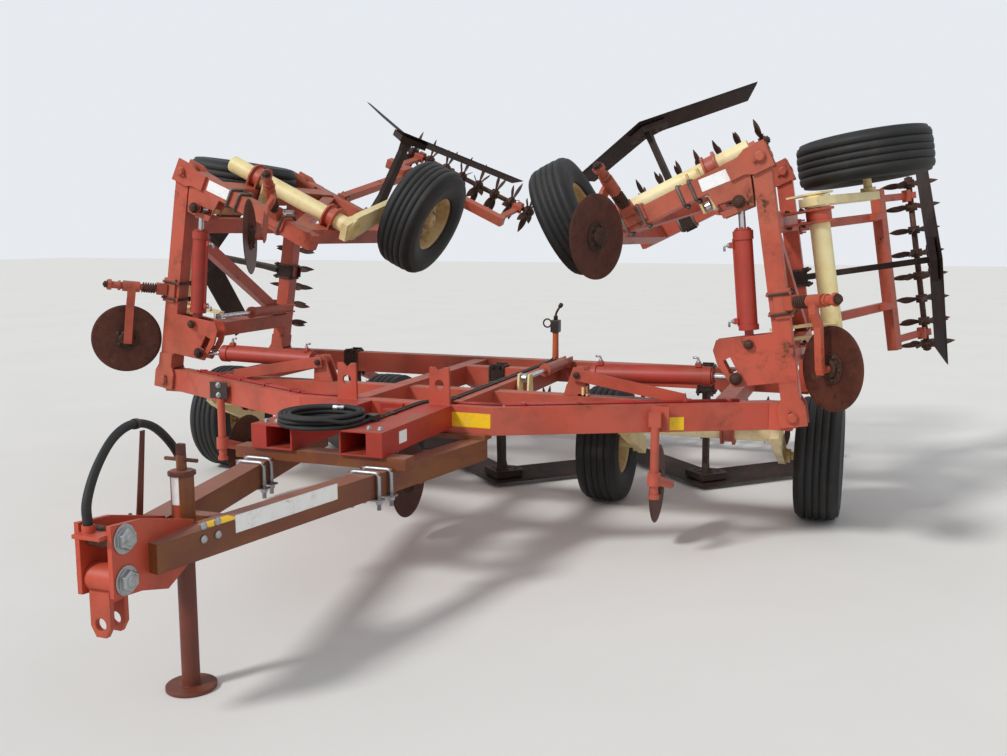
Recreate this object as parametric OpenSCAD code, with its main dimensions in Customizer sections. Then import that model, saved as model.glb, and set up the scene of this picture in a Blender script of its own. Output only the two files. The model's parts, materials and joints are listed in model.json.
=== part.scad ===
// Folding blade plow on a drawn tongue, parked with both wings folded up and over.
// X runs across the machine, with its left side at +X. Y runs rearward, Z up from the ground.
// The origin lies on the ground, midway between the front fold pins of the centre section.

/* [Sections] */
// From the machine's centre line to the inner fold pins
half_w = 2100; // [2060:10:2200]
// Height of the inner fold pins above the ground
pin_h = 800; // [795:5:840]
// From the inner fold pins to the outer fold pins, along the inner wing
wing_len = 1430; // [1420:10:1480]
// Length of the outer wing's beams beyond its fold pins
outer_len = 1070; // [1050:10:1100]
// From the front beams to the rear beams
frame_depth = 1380; // [1340:10:1420]
// Angle of the folded inner wing above level
fold_inner = 99; // [97:1:101]
// Angle of the folded outer wing above level
fold_outer = 206; // [204:1:208]

/* [Tubes and plates] */
// Side of the wing's square tubes
tube = 102; // [98:1:104]
// Height of the centre section's beams
beam_h = 152; // [140:1:156]
// How far the centre of the front beam lies ahead of the fold pins
chevron = 690; // [640:10:720]
// Half length of the straight middle of the front beam
middle_half = 600; // [560:10:640]
// Thickness of the hinge cheeks
cheek_t = 16; // [12:1:20]
// Thickness of the cylinder lug plates
lug_t = 14; // [10:1:16]
// Radius of the fold pins
pin_r = 22; // [18:1:26]

/* [Rockshafts] */
// Radius of the rockshaft pipes
shaft_r = 57; // [52:1:60]
// Rockshaft axis behind the front beam
shaft_y = 371; // [350:1:400]
// Centre rockshaft axis below the beams' mid height
shaft_drop = 172; // [168:1:185]
// Inner wings' rockshaft axis below the beams' mid height
drop_inner = 240; // [230:1:250]
// Outer wings' rockshaft axis below the beams' mid height
drop_outer = 116; // [112:1:130]
// Length of the wheel arms, from shaft axis to wheel axis
arm_len = 550; // [530:5:570]
// Arm angle below level on the left inner wing
arm_dip_inner = 30; // [26:1:34]
// Arm angle below level on the right inner wing, parked raised
arm_dip_raised = -5; // [-5:1:2]
// Arm angle below level on the outer wings
arm_dip_outer = 21; // [17:1:25]
// From a wheel arm to the middle of its wheel
wheel_offset = 230; // [220:5:240]

/* [Wheels] */
// Outer radius of the tyres
tyre_r = 391; // [380:1:396]
// Width of the tyres
tyre_w = 279; // [260:1:290]
// Radius of the wheel rims
rim_r = 197; // [190:1:205]
// Radius of the hub caps
hub_r = 62; // [50:1:70]
// Radius of the stub axles
axle_r = 25; // [20:1:30]

/* [Blades] */
// Half of the cutting width of one blade
blade_half = 780; // [740:5:790]
// Width of a blade wing from edge to back
blade_w = 185; // [170:5:200]
// Rise of a blade wing from edge to back
blade_rise = 58; // [45:1:70]
// Thickness of a blade wing
blade_t = 14; // [10:1:16]
// Centre blades' edge below the beams' mid height
blade_drop = 770; // [760:1:780]
// Inner wings' blade edge below the beams' mid height
blade_drop_inner = 905; // [890:1:915]
// Outer wings' blade edge below the beams' mid height
blade_drop_outer = 745; // [735:1:755]
// How far the middle blade stands ahead of its neighbours
blade_stagger = 430; // [400:5:440]
// Spacing between neighbouring blades on the centre section
blade_pitch = 1405; // [1380:5:1430]
// Blade place on each wing, from its fold pins
blade_u = 715; // [700:5:730]
// Thickness of the blade shanks
shank_t = 38; // [30:1:45]

/* [Coulters] */
// Radius of the coulter discs
disc_r = 228; // [215:1:240]
// Thickness of the coulter discs
disc_t = 7; // [5:1:9]
// Radius of the coulter shanks
stem_r = 24; // [20:1:28]
// Lean of the wings' coulter stems ahead of plumb
coulter_rake = 45; // [42:1:48]
// Length of a coulter arm
coulter_arm = 360; // [340:5:375]
// From the plane of a coulter arm to its disc
coulter_side = 90; // [86:1:100]
// From a wing coulter's clamp to the plane of its arm, along the stem
coulter_out = 218; // [205:1:230]

/* [Treaders] */
// Radius over the points of a treader wheel
star_r = 208; // [195:1:215]
// Points on a treader wheel
star_points = 6; // [5:1:8]
// Spacing between treader wheels
star_pitch = 177; // [165:1:190]
// Treader wheels on a wing gang
star_count = 8; // [6:1:8]
// Treader carrier pivot behind the rear beam
carrier_gap = 70; // [66:1:90]
// From the carrier pivot to the toolbar
carrier_len = 1030; // [980:10:1060]
// From the carrier pivot to the gang shaft
gang_len = 1500; // [1450:10:1540]
// Carrier angle below level on the centre section
carrier_dip_centre = 19; // [15:0.5:20]
// Carrier angle below level on the inner wings
carrier_dip_inner = 30; // [26:1:32]
// Carrier angle below level on the outer wings
carrier_dip_outer = 15; // [12:1:18]

/* [Cylinders] */
// Radius of the cylinder barrels
barrel_r = 50; // [45:1:54]
// Radius of the cylinder rods
rod_r = 19; // [15:1:22]
// Radius of the cylinder pins
cyl_pin_r = 19; // [16:1:20]
// Thickness of the cylinder eyes
eye_t = 50; // [40:1:56]
// From an inner fold cylinder's barrel to its rod eye, folded
rod_show_inner = 145; // [140:1:155]
// From an outer fold cylinder's barrel to its rod eye, folded
rod_show_outer = 156; // [150:1:165]

/* [Tongue] */
// From the fold pins' line forward to the hitch plates
hitch_reach = 2925; // [2900:5:3000]
// Side of the tongue tubes
tongue_tube = 112; // [104:1:120]
// Height of the tongue tubes' mid line
tongue_h = 640; // [625:5:650]
// From the centre line to a pull arm
arm_x = 285; // [270:5:300]
// How far the pull arms reach ahead of the fold pins
arm_reach = 1570; // [1500:10:1620]
// Radius of the hitch bolts
hitch_bolt_r = 24; // [20:1:28]
// Width of one pull arm
pull_w = 230; // [210:5:240]
// Height of the pull arms
pull_h = 122; // [110:2:130]
// Half length of the plate under the pull arms
pull_plate = 470; // [460:5:500]
// Radius of the bore in the hitch clevis
clevis_bore_r = 24; // [20:0.5:26]

/* [Hidden] */
$fn = 48;

red = "#b5462f";
cream = "#e8d9a0";
steel = "#3a2a24";
bright = "#c8ccd0";
rubber = "#1c1c1c";

// Gaps
side_gap = 2;
bore_gap = 0.1;
seat = 0.3;

// Hinges
eye_w = tube - 2 * side_gap;
eye_r = 60;
tube_start = 95;
cheek_flare = 75;
thin_end = 130;

// Angles and places of the folded wings
outer_turn = fold_outer - fold_inner;

// Centre arm angle that stands the tyres on the ground
arm_dip_centre = asin((pin_h - shaft_drop - tyre_r) / arm_len);

// Inner wing's lengthwise tubes and outer wing's
inner_ribs = [320, 1080];
outer_ribs = [300, 930];
centre_ribs = [arm_x, 1700];

// Fold cylinder of the inner wing, in the centre section's frame
in_base = [half_w - 1230, 180];
in_eye = [250, 275];
// Fold cylinder of the outer wing, in the inner wing's frame
out_base = [431, 185];
out_eye = [195, 170];

function turn(p, a) = [p[0] * cos(a) - p[1] * sin(a), p[0] * sin(a) + p[1] * cos(a)];
in_eye_rest = [half_w, 0] + turn(in_eye, fold_inner);
out_eye_rest = [wing_len, 0] + turn(out_eye, outer_turn);
in_vec = in_eye_rest - in_base;
out_vec = out_eye_rest - out_base;
in_angle = atan2(in_vec[1], in_vec[0]);
out_angle = atan2(out_vec[1], out_vec[0]);
// Barrels, cut to whole millimetres, with this much of the rod in sight
in_barrel = round(norm(in_vec) - rod_show_inner);
out_barrel = round(norm(out_vec) - rod_show_outer);

// Where the wing coulters' clamps stand, and how far an arm hangs round its stem on a folded wing
coulter_inner_u = 629;
coulter_outer_u = 767;
coulter_root = tube / 2 + 9;
function hang(fold) = atan2(-cos(fold) * sin(coulter_rake), -sin(fold));
hub_centre = [-50, 340, -437];

// Lift levers and cylinders, and the arm angle at the lift's upper stop
lever_up = 78;
lift_y = frame_depth - 150;
lift_r = 16;
wing_top = -5;
centre_top = 5;
inner_lift = inner_ribs[0] + 110;
outer_lift = outer_ribs[0] + 110;
centre_lift = arm_x + 110;

// Treader carriers
pivot_y = frame_depth + carrier_gap;
pivot_w = -50;
gang_half = (star_count - 1) * star_pitch / 2;

// Places on the sections
module at_inner() translate([half_w, 0, pin_h]) rotate([0, -fold_inner, 0]) children();
module at_outer() at_inner() translate([wing_len, 0, 0]) rotate([0, -outer_turn, 0]) children();
module at_centre() translate([0, 0, pin_h]) children();
module right_side() mirror([1, 0, 0]) children();
module facing(side) {
    if (side < 0) right_side() children();
    else children();
}
module both_sides() {
    children();
    mirror([1, 0, 0]) children();
}

// Bars and round stock along one axis
module bar_x(x0, x1, y, z, wy, hz) translate([x0, y - wy / 2, z - hz / 2]) cube([x1 - x0, wy, hz]);
module bar_y(y0, y1, x, z, wx, hz) translate([x - wx / 2, y0, z - hz / 2]) cube([wx, y1 - y0, hz]);
module round_x(x0, x1, y, z, r) translate([x0, y, z]) rotate([0, 90, 0]) cylinder(r = r, h = x1 - x0);
module round_y(y0, y1, x, z, r) translate([x, y0, z]) rotate([-90, 0, 0]) cylinder(r = r, h = y1 - y0);
// A plate in the XZ plane, from y0 to y1
module plate_y(y0, y1, pts) translate([0, y1, 0]) rotate([90, 0, 0]) linear_extrude(y1 - y0) polygon(pts);
// A plate in the YZ plane, from x0 to x1
module plate_x(x0, x1, pts) translate([x0, 0, 0]) rotate([90, 0, 90]) linear_extrude(x1 - x0) polygon(pts);
// A rod between two points
module rod(a, b, r) {
    d = b - a;
    l = norm(d);
    translate(a) rotate([0, acos(d[2] / l), atan2(d[1], d[0])]) cylinder(r = r, h = l);
}

// Eye at the end of a beam, for a fold pin along Y
module beam_eye(x, y, h) {
    difference() {
        union() {
            bar_x(x - thin_end, x, y, 0, eye_w, h);
            round_y(y - eye_w / 2, y + eye_w / 2, x, 0, eye_r);
        }
        round_y(y - tube, y + tube, x, 0, pin_r + bore_gap);
    }
}

// Cheeks and pin of a hinge, on the wing's own pin line
module cheeks(y) {
    profile = [[190, -tube / 2], [190, tube / 2], [110, tube / 2], [62, cheek_flare], [-52, cheek_flare],
               [-52, -cheek_flare], [62, -cheek_flare], [110, -tube / 2]];
    for (s = [-1, 1]) {
        y0 = s > 0 ? y + tube / 2 : y - tube / 2 - cheek_t;
        plate_y(y0, y0 + cheek_t, profile);
    }
    round_y(y - tube / 2 - cheek_t - 14, y + tube / 2 + cheek_t + 14, 0, 0, pin_r);
    for (s = [-1, 1])
        round_y(y + s * (tube / 2 + cheek_t + 5) - 5, y + s * (tube / 2 + cheek_t + 5) + 5, 0, 0, pin_r + 9);
}

// Clamped hanger under a tube, round a rockshaft
module hanger(x, drop) {
    for (s = [-1, 1])
        difference() {
            plate_x(x + s * 34 - 6, x + s * 34 + 6,
                [[shaft_y - 84, -tube / 2], [shaft_y + 84, -tube / 2], [shaft_y + 84, -drop],
                 [shaft_y + 50, -drop - shaft_r - 22], [shaft_y - 50, -drop - shaft_r - 22],
                 [shaft_y - 84, -drop]]);
            round_x(x - 60, x + 60, shaft_y, -drop, shaft_r + 12);
        }
    difference() {
        round_x(x - 28, x + 28, shaft_y, -drop, shaft_r + 14);
        round_x(x - 40, x + 40, shaft_y, -drop, shaft_r + bore_gap);
    }
}

// Lug plate pair that holds a cylinder pin, with a slot for the rod's pin
module slot_lugs(profile, slot_at, slot_tilt, holes) {
    for (s = [-1, 1])
        translate([0, s * (tube / 2 - lug_t / 2), 0])
            difference() {
                plate_y(-lug_t / 2, lug_t / 2, profile);
                translate([slot_at[0], 0, slot_at[1]]) rotate([0, -slot_tilt, 0])
                    translate([10, -lug_t, -22]) cube([110, 2 * lug_t, 44]);
                for (h = holes)
                    round_y(-lug_t, lug_t, h[0], h[1], cyl_pin_r + bore_gap);
            }
    for (s = [-1, 1]) {
        round_y(s * (tube / 2 + 6) - 6, s * (tube / 2 + 6) + 6, slot_at[0], slot_at[1], 34);
        round_y(s * (tube / 2 + 20) - 9, s * (tube / 2 + 20) + 9, slot_at[0], slot_at[1], cyl_pin_r);
    }
}

// Pin through both lugs for a cylinder's barrel eye
module lug_pin(p) {
    round_y(-tube / 2 - 16, tube / 2 + 16, p[0], p[1], cyl_pin_r);
    for (s = [-1, 1])
        round_y(s * (tube / 2 + 6) - 6, s * (tube / 2 + 6) + 6, p[0], p[1], cyl_pin_r + 9);
}

// Treader carrier: bracket, two arms, toolbar and gang hangers, at the section's own height
module carrier(u_mid, dip, half_bar, arms, drops) {
    for (u = arms) {
        for (s = [-1, 1])
            plate_x(u_mid + u + s * 40 - 6, u_mid + u + s * 40 + 6,
                [[frame_depth + tube / 2, -tube / 2], [pivot_y + 40, pivot_w - 40],
                 [pivot_y + 40, pivot_w + 40], [frame_depth + tube / 2, tube / 2]]);
        round_x(u_mid + u - 52, u_mid + u + 52, pivot_y, pivot_w, 20);
    }
    translate([u_mid, pivot_y, pivot_w]) rotate([-dip, 0, 0]) {
        for (u = arms) {
            bar_y(-30, carrier_len, u, 0, 60, 60);
            bar_y(carrier_len - 190, carrier_len - 40, u, -55, 46, 50);
        }
        bar_x(-half_bar, half_bar, carrier_len, 0, 76, 76);
        for (u = drops) {
            bar_y(carrier_len, gang_len - 62, u, 12, 52, 26);
            bar_y(gang_len - 70, gang_len - 40, u, 0, 90, 60);
            difference() {
                round_x(u - 24, u + 24, gang_len, 0, 44);
                round_x(u - 30, u + 30, gang_len, 0, 22 + bore_gap);
            }
        }
    }
}

// Blade of two swept wings under one nose plate, with its point at the origin
module blade() {
    reach = blade_half * sqrt(2);
    both_sides() {
        intersection() {
            rotate([0, 0, 45])
                translate([-200, 0, 0])
                    plate_x(0, reach + 200, [[0, 0], [36, 4], [blade_w, blade_rise],
                                             [blade_w - 6, blade_rise + blade_t], [26, blade_t]]);
            translate([0, -50, -10]) cube([blade_half, blade_half + blade_w * 2, blade_rise + 60]);
        }
    }
    translate([0, 0, 30]) linear_extrude(blade_rise - 12)
        polygon([[0, 40], [70, 110], [150, 190], [120, 262], [50, 300], [-50, 300], [-120, 262],
                 [-150, 190], [-70, 110]]);
}

// Shank from its clamp round a beam down to the blade
module shank(y_beam, h, drop) {
    top = -h / 2 - seat - 16;
    foot = -drop + 40;
    front = y_beam - tube / 2 - seat;
    back = y_beam + tube / 2 + seat;
    plate_x(-shank_t / 2, shank_t / 2,
        [[y_beam - 80, top], [y_beam + 72, top], [y_beam + 84, top - 120], [y_beam + 96, foot + 100],
         [y_beam + 150, foot], [y_beam - 20, foot], [y_beam + 6, foot + 110],
         [y_beam - 22, top - 160]]);
    translate([-62, front - 16, top]) cube([124, back - front + 32, 16]);
    translate([-40, front - 14, top]) cube([80, 14, h + 40]);
    translate([-40, back, top]) cube([80, 14, h + 40]);
    for (x = [-24, 24]) round_y(front - 26, front - 13, x, h / 2 + 8, 13);
}

// Clamp, stem and arm of a coulter, with the stem straight down from a beam's front face
module coulter_mount(drop) {
    translate([-70, -14, -70]) cube([140, 14, 140]);
    translate([-34, -60, -40]) cube([68, 46, 80]);
    translate([0, -44, -drop - 110]) cylinder(r = stem_r, h = drop + 70);
    translate([0, -44, -drop - 36]) cylinder(r = stem_r + 13, h = 72);
    translate([0, -44, -drop - 110]) cylinder(r = stem_r + 7, h = 26);
}

// Flat coulter arm from the sleeve on the stem to the disc hub, then the hub's stub
module coulter_link(sleeve, hub, axis) {
    lift = 30;
    hull() {
        translate(sleeve) sphere(r = 30, $fn = 16);
        translate(hub + axis * (46 + lift)) sphere(r = 24, $fn = 16);
    }
    rod(hub + axis * 30, hub + axis * (50 + lift), 20);
}

// Place of a wing coulter's clamp, with the raked stem along +Z
module at_stem(u) translate([u, -coulter_root, -coulter_root + 6]) rotate([90 + coulter_rake, 0, 0])
    children();

// Raked wing coulter: clamp block on the beam's corner, stem with collars, sleeve, bent arm and stub
module wing_coulter(u, fold) {
    translate([u - 80, -tube / 2 - 14, -tube / 2 - 14]) cube([160, 90, 14]);
    translate([u - 80, -tube / 2 - 14, -tube / 2 - 14]) cube([160, 14, 90]);
    at_stem(u) {
        translate([-38, -30, -8]) cube([76, 60, 66]);
        cylinder(r = stem_r, h = coulter_out + 150);
        translate([0, 0, coulter_out - 52]) cylinder(r = stem_r + 12, h = 108);
        translate([0, 0, coulter_out + 70]) cylinder(r = stem_r + 9, h = 16);
        translate([0, 0, coulter_out + 126]) cylinder(r = stem_r + 12, h = 26, $fn = 6);
        translate([0, 0, coulter_out]) rotate([0, 0, hang(fold)]) {
            translate([0, 0, -26]) linear_extrude(52)
                polygon([[0, -34], [70, -34], [140, -4], [coulter_arm + 4, -4], [coulter_arm + 30, 4],
                         [coulter_arm + 30, 12], [coulter_arm, 18], [130, 18], [60, -8], [0, -8]]);
            round_y(16, coulter_side - 30, coulter_arm, 0, 21);
        }
    }
}

// Disc of a wing coulter, on its own stub
module wing_disc(u, fold) at_stem(u) translate([0, 0, coulter_out]) rotate([0, 0, hang(fold)])
    coulter_disc([coulter_arm, coulter_side, 0], [0, -1, 0]);

// Coulter disc and hub, turning on the axis given
module coulter_disc(hub, axis) {
    turn_z = atan2(axis[1], axis[0]);
    tilt = acos(axis[2] / norm(axis));
    translate(hub) rotate([0, tilt, turn_z]) rotate_extrude()
        polygon([[0, -26], [34, -26], [44, -14], [52, -disc_t / 2], [disc_r - 18, -disc_t / 2],
                 [disc_r, -0.6], [disc_r, 0.6], [disc_r - 18, disc_t / 2], [52, disc_t / 2], [44, 16],
                 [34, 29.6], [0, 29.6]]);
}

// Centre section, in its own height
module centre_frame() {
    color(red) at_centre() {
        both_sides() {
            // Swept front beam and its straight hinge end
            beam_eye(half_w, 0, beam_h);
            beam_eye(half_w, frame_depth, beam_h);
            translate([0, 0, -beam_h / 2]) linear_extrude(beam_h)
                polygon([[half_w - thin_end, -tube / 2], [half_w - thin_end, tube / 2],
                         [middle_half, -chevron + tube / 2 + 4], [middle_half, -chevron - tube / 2]]);
            // Lengthwise tubes
            bar_y(-chevron * (half_w - thin_end - centre_ribs[1]) / (half_w - thin_end - middle_half),
                frame_depth, centre_ribs[1], 0, tube, tube);
            bar_y(-chevron, frame_depth, arm_x, 0, tube, beam_h - 20);
            // Hangers for the rockshaft
            hanger(centre_ribs[1], shaft_drop);
        }
        // Cross tube that carries the inner fold cylinders' lugs
        bar_x(-centre_ribs[1], centre_ribs[1], 0, 0, tube, tube);
        // Straight middle of the front beam, rear beam
        bar_x(-middle_half, middle_half, -chevron, 0, tube, beam_h);
        bar_x(-half_w + thin_end, half_w - thin_end, frame_depth, 0, tube, beam_h);
        // Cross tube for the middle blade
        bar_x(-arm_x, arm_x, frame_depth - blade_stagger, 0, tube, beam_h - 20);
        both_sides() hanger(arm_x, shaft_drop);
        // Pull arms: a closed tube beside a channel that is open at the front
        both_sides() difference() {
            bar_y(-arm_reach, -chevron, pull_x, pull_rise, pull_w, pull_h);
            translate([pull_x - pull_w / 2 + 9, -arm_reach - 10, pull_rise - pull_h / 2 + 9])
                cube([pull_w - 95, arm_reach - chevron - 50, pull_h - 18]);
        }
        // Standing plates with a round hole, behind the pull arms
        both_sides() translate([arm_x, -chevron - tube / 2 + 16, beam_h / 2]) difference() {
            plate_y(-16, 0, [[-62, -20], [62, -20], [58, 205], [26, 205], [0, 180], [-26, 205], [-58, 205]]);
            round_y(-40, 40, 0, 110, 26);
        }
        // Lift cylinder: lugs on the rear beam and a barrel to the front
        lift_barrel(centre_lift);
        // Treader carriers
        carrier(0, carrier_dip_centre, 2080, [-1500, -600, 600, 1500],
            [-11 * star_pitch, -6 * star_pitch, 0, 6 * star_pitch, 11 * star_pitch]);
        // Coulter mounts
        for (i = [-1 : 1]) translate([i * blade_pitch, front_face(abs(i) * blade_pitch), 0]) {
            coulter_mount(330);
            coulter_link([0, -44, -330], hub_centre + [0, -44, 0], [1, 0, 0]);
        }
    }
}

// Base of an inner fold cylinder: two lugs on the cross tube, the pin and a long flat brace
module fold_base_left() color(red) at_centre() {
    top = tube / 2 + seat;
    for (s = [-1, 1])
        plate_y(s * 38 - 7, s * 38 + 7,
            [[in_base[0] - 90, top], [in_base[0] + 50, top], [in_base[0] + 40, in_base[1] + 40],
             [in_base[0] - 30, in_base[1] + 40]]);
    round_y(-70, 62, in_base[0], in_base[1], cyl_pin_r);
    plate_y(-76, -64,
        [[in_base[0] - 30, in_base[1] - 30], [in_base[0] - 24, in_base[1] + 34],
         [in_base[0] + 24, in_base[1] + 34], [in_base[0] + 640, top + 52], [in_base[0] + 660, top],
         [in_base[0] + 560, top]]);
    translate([in_base[0] + 560, -76, top]) cube([100, 100, 12]);
}
module fold_base_right() right_side() fold_base_left();

// Front face of the swept beam at a place across the machine
function front_face(x) = -tube / 2
    - chevron * min(1, (half_w - thin_end - x) / (half_w - thin_end - middle_half));

// Lift cylinder barrel along Y, from a lug on the rear beam
module lift_barrel(u) {
    difference() {
        union() {
            round_y(lift_y - 430, lift_y, u, lever_up, 38);
            round_y(lift_y - 445, lift_y - 420, u, lever_up, 44);
        }
        round_y(lift_y - 450, lift_y - 400, u, lever_up, lift_r + bore_gap);
        round_y(lift_y - 401, lift_y - 30, u, lever_up, lift_r + 10);
    }
    for (s = [-1, 1])
        plate_x(u + s * 26 - 6, u + s * 26 + 6,
            [[lift_y - 30, lever_up - 34], [lift_y - 30, lever_up + 34], [frame_depth - 20, lever_up + 34],
             [frame_depth - 20, 20]]);
    round_x(u - 36, u + 36, lift_y + 30, lever_up, 16);
    bar_y(lift_y - 10, lift_y + 62, u, lever_up, 36, 50);
}

// Lift rod along Y, ahead of its barrel, with an eye that stands clear of the lever.
// The piston stands so far from its front stop as the arms hang below theirs.
module lift_rod(u, lever, dip, top) {
    eye_y = shaft_y + 6;
    head = lift_y - 395 + (dip - top) * PI / 180 * lever;
    round_y(eye_y + 26, head + 20, u, lever_up, lift_r);
    round_y(head, head + 20, u, lever_up, lift_r + 8);
    difference() {
        round_x(u - 15, u + 15, eye_y, lever_up, 30);
        round_x(u - 30, u + 30, eye_y, lever_up, 17);
    }
}

// Rockshaft from u0 to u1, with wheel arms at the places given, dipped below level
module rockshaft(u0, u1, drop, arms, dip, lever_u) {
    spindle = wheel_offset - 20;
    difference() {
        round_x(u0, u1, shaft_y, -drop, shaft_r);
        round_x(u0 - 1, u0 + 40, shaft_y, -drop, shaft_r - 8);
        round_x(u1 - 40, u1 + 1, shaft_y, -drop, shaft_r - 8);
    }
    translate([0, shaft_y, -drop]) {
        rotate([-dip, 0, 0])
            for (arm = arms) {
                a = arm[0];
                difference() {
                    union() {
                        plate_x(a - 24, a + 24,
                            [[-90, -62], [60, -80], [arm_len + 40, -48], [arm_len + 60, 0],
                             [arm_len + 40, 48], [60, 80], [-90, 62]]);
                        round_x(a - 34, a + 34, 0, 0, shaft_r + 16);
                    }
                    round_x(a - 60, a + 60, 0, 0, shaft_r);
                }
                translate([a, 0, 0]) facing(arm[1]) {
                    round_x(0, spindle, arm_len, 0, axle_r);
                    round_x(0, 52, arm_len, 0, axle_r + 20);
                }
            }
        // Lever plates for the lift rod
        for (s = [-1, 1])
            translate([lever_u + s * 34, 0, 0]) difference() {
                plate_x(-7, 7, [[-shaft_r - 12, -30], [shaft_r + 12, -30], [34, drop + lever_up + 30],
                                [-26, drop + lever_up + 30]]);
                round_x(-20, 20, 0, 0, shaft_r - 10);
            }
    }
}

// Wheel: tyre, rim, disc and hub, turning on X about the arm's end
module wheel(side) facing(side) translate([wheel_offset, 0, 0]) rotate([0, 90, 0]) {
    color(rubber) rotate_extrude() tyre_profile();
    color(cream) rotate_extrude() rim_profile();
}

// Ribbed tread, rounded shoulders and bulged walls
module tyre_profile() {
    h = tyre_w / 2;
    groove = 9;
    polygon([[rim_r + 2, -h * 0.66], [rim_r + 30, -h * 0.78], [rim_r + 90, -h], [tyre_r - 70, -h * 0.98],
             [tyre_r - 26, -h * 0.84], [tyre_r - 8, -h * 0.68], [tyre_r - 5, -h * 0.5],
             [tyre_r - 5 - groove, -h * 0.48], [tyre_r - 5 - groove, -h * 0.42], [tyre_r - 3, -h * 0.4],
             [tyre_r - 1, -h * 0.18], [tyre_r - 1 - groove, -h * 0.16], [tyre_r - 1 - groove, -h * 0.1],
             [tyre_r, -h * 0.08], [tyre_r, h * 0.08], [tyre_r - 1 - groove, h * 0.1],
             [tyre_r - 1 - groove, h * 0.16], [tyre_r - 1, h * 0.18], [tyre_r - 3, h * 0.4],
             [tyre_r - 5 - groove, h * 0.42], [tyre_r - 5 - groove, h * 0.48], [tyre_r - 5, h * 0.5],
             [tyre_r - 8, h * 0.68], [tyre_r - 26, h * 0.84], [tyre_r - 70, h * 0.98], [rim_r + 90, h],
             [rim_r + 30, h * 0.78], [rim_r + 2, h * 0.66]]);
}

// Rim barrel with its lips, dished disc and hub with the axle's bore
module rim_profile() {
    h = tyre_w / 2;
    polygon([[rim_r + 10, -h * 0.72], [rim_r + 2 - seat, -h * 0.66], [rim_r + 2 - seat, h * 0.66],
             [rim_r + 10, h * 0.72], [rim_r - 6, h * 0.74], [rim_r - 8, h * 0.1], [rim_r - 40, 8],
             [120, 34], [hub_r + 20, 34], [hub_r, 60], [axle_r + bore_gap, 60],
             [axle_r + bore_gap, -70], [hub_r, -70], [hub_r, 22], [120, 22],
             [rim_r - 34, -6], [rim_r - 8, -h * 0.1], [rim_r - 6, -h * 0.74]]);
}

// Wheel placed on a shaft's arm
module wheel_at(a, side, drop, dip) {
    translate([a, shaft_y + arm_len * cos(dip), -drop - arm_len * sin(dip)]) wheel(side);
}

// Star wheels, spacers and shaft along X, centred on the origin
module gang(count, pitch) {
    half = (count - 1) * pitch / 2;
    for (i = [0 : count - 1])
        translate([-half + i * pitch, 0, 0]) rotate([i * 17, 0, 0]) star();
    round_x(-half - 46, half + 46, 0, 0, 22);
}

// One treader wheel: long pointed leaves round a hub
module star() {
    step = 360 / star_points;
    leaf = [[44, -24], [0.66 * star_r, -11], [0.9 * star_r, -5], [star_r, 2], [0.6 * star_r, 9], [44, 24]];
    rotate([90, 0, 90]) translate([0, 0, -5]) linear_extrude(10)
        polygon([for (k = [0 : star_points - 1], p = leaf)
            [p[0] * cos(p[1] + k * step), p[0] * sin(p[1] + k * step)]]);
    round_x(-30, 30, 0, 0, 38);
}

module gang_at(u, dip, count) color(steel)
    translate([u, pivot_y, pivot_w]) rotate([-dip, 0, 0]) translate([0, gang_len, 0]) gang(count, star_pitch);

// Inner wing frame, in the wing's own place
module inner_frame() {
    cheeks(0);
    cheeks(frame_depth);
    for (y = [0, frame_depth]) {
        bar_x(tube_start, wing_len - thin_end, y, 0, tube, tube);
        beam_eye(wing_len, y, tube);
    }
    for (u = inner_ribs) bar_y(0, frame_depth, u, 0, tube, tube);
    for (u = inner_ribs) hanger(u, drop_inner);
    // Diagonal brace between the ribs
    brace(inner_ribs[1] - 40, 60, inner_ribs[0] + 40, frame_depth - 60);
    slot_lugs([[200, 40], [200, 300], [330, 370], [420, 385], [475, 360], [475, 40]], in_eye, 20,
        [out_base]);
    lug_pin(out_base);
    lift_barrel(inner_lift);
    carrier(blade_u - 60, carrier_dip_inner, 600, [-260, 400], [-3 * star_pitch, 3 * star_pitch]);
    wing_coulter(coulter_inner_u, fold_inner);
    for (side = [-55, 55]) band(coulter_inner_u + side);
}

// Square band clamped round a beam
module band(u) {
    difference() {
        translate([u - 8, -tube / 2 - 22, -tube / 2 - 22]) cube([16, tube + 30, tube + 30]);
        bar_x(u - 10, u + 10, 0, 0, tube, tube);
    }
}

// Flat diagonal tube in the frame's plane
module brace(x0, y0, x1, y1) {
    l = norm([x1 - x0, y1 - y0]);
    translate([x0, y0, 0]) rotate([0, 0, atan2(y1 - y0, x1 - x0)]) translate([0, -38, -38]) cube([l, 76, 76]);
}

// Outer wing frame
module outer_frame() {
    cheeks(0);
    cheeks(frame_depth);
    for (y = [0, frame_depth]) bar_x(tube_start, outer_len, y, 0, tube, tube);
    for (u = outer_ribs) bar_y(0, frame_depth, u, 0, tube, tube);
    for (u = outer_ribs) hanger(u, drop_outer);
    brace(outer_ribs[1] - 40, 60, outer_ribs[0] + 40, frame_depth - 60);
    slot_lugs([[78, 40], [114, 165], [136, 225], [310, 215], [335, 40]], out_eye, -8, []);
    lift_barrel(outer_lift);
    carrier(blade_u + 30, carrier_dip_outer, 600, [-360, 150], [-3 * star_pitch, 3 * star_pitch]);
    wing_coulter(coulter_outer_u, fold_outer);
    for (side = [-55, 55]) band(coulter_outer_u + side);
}

// Blade and shank under a beam
module tool(u, y_beam, h, drop) {
    translate([u, 0, 0]) shank(y_beam, h, drop);
    translate([u, y_beam - 100, -drop]) blade();
}

module centre_tools() {
    color(steel) at_centre() {
        for (i = [-1, 1]) tool(i * blade_pitch, frame_depth, beam_h, blade_drop);
        tool(0, frame_depth - blade_stagger, beam_h - 20, blade_drop);
    }
}

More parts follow.
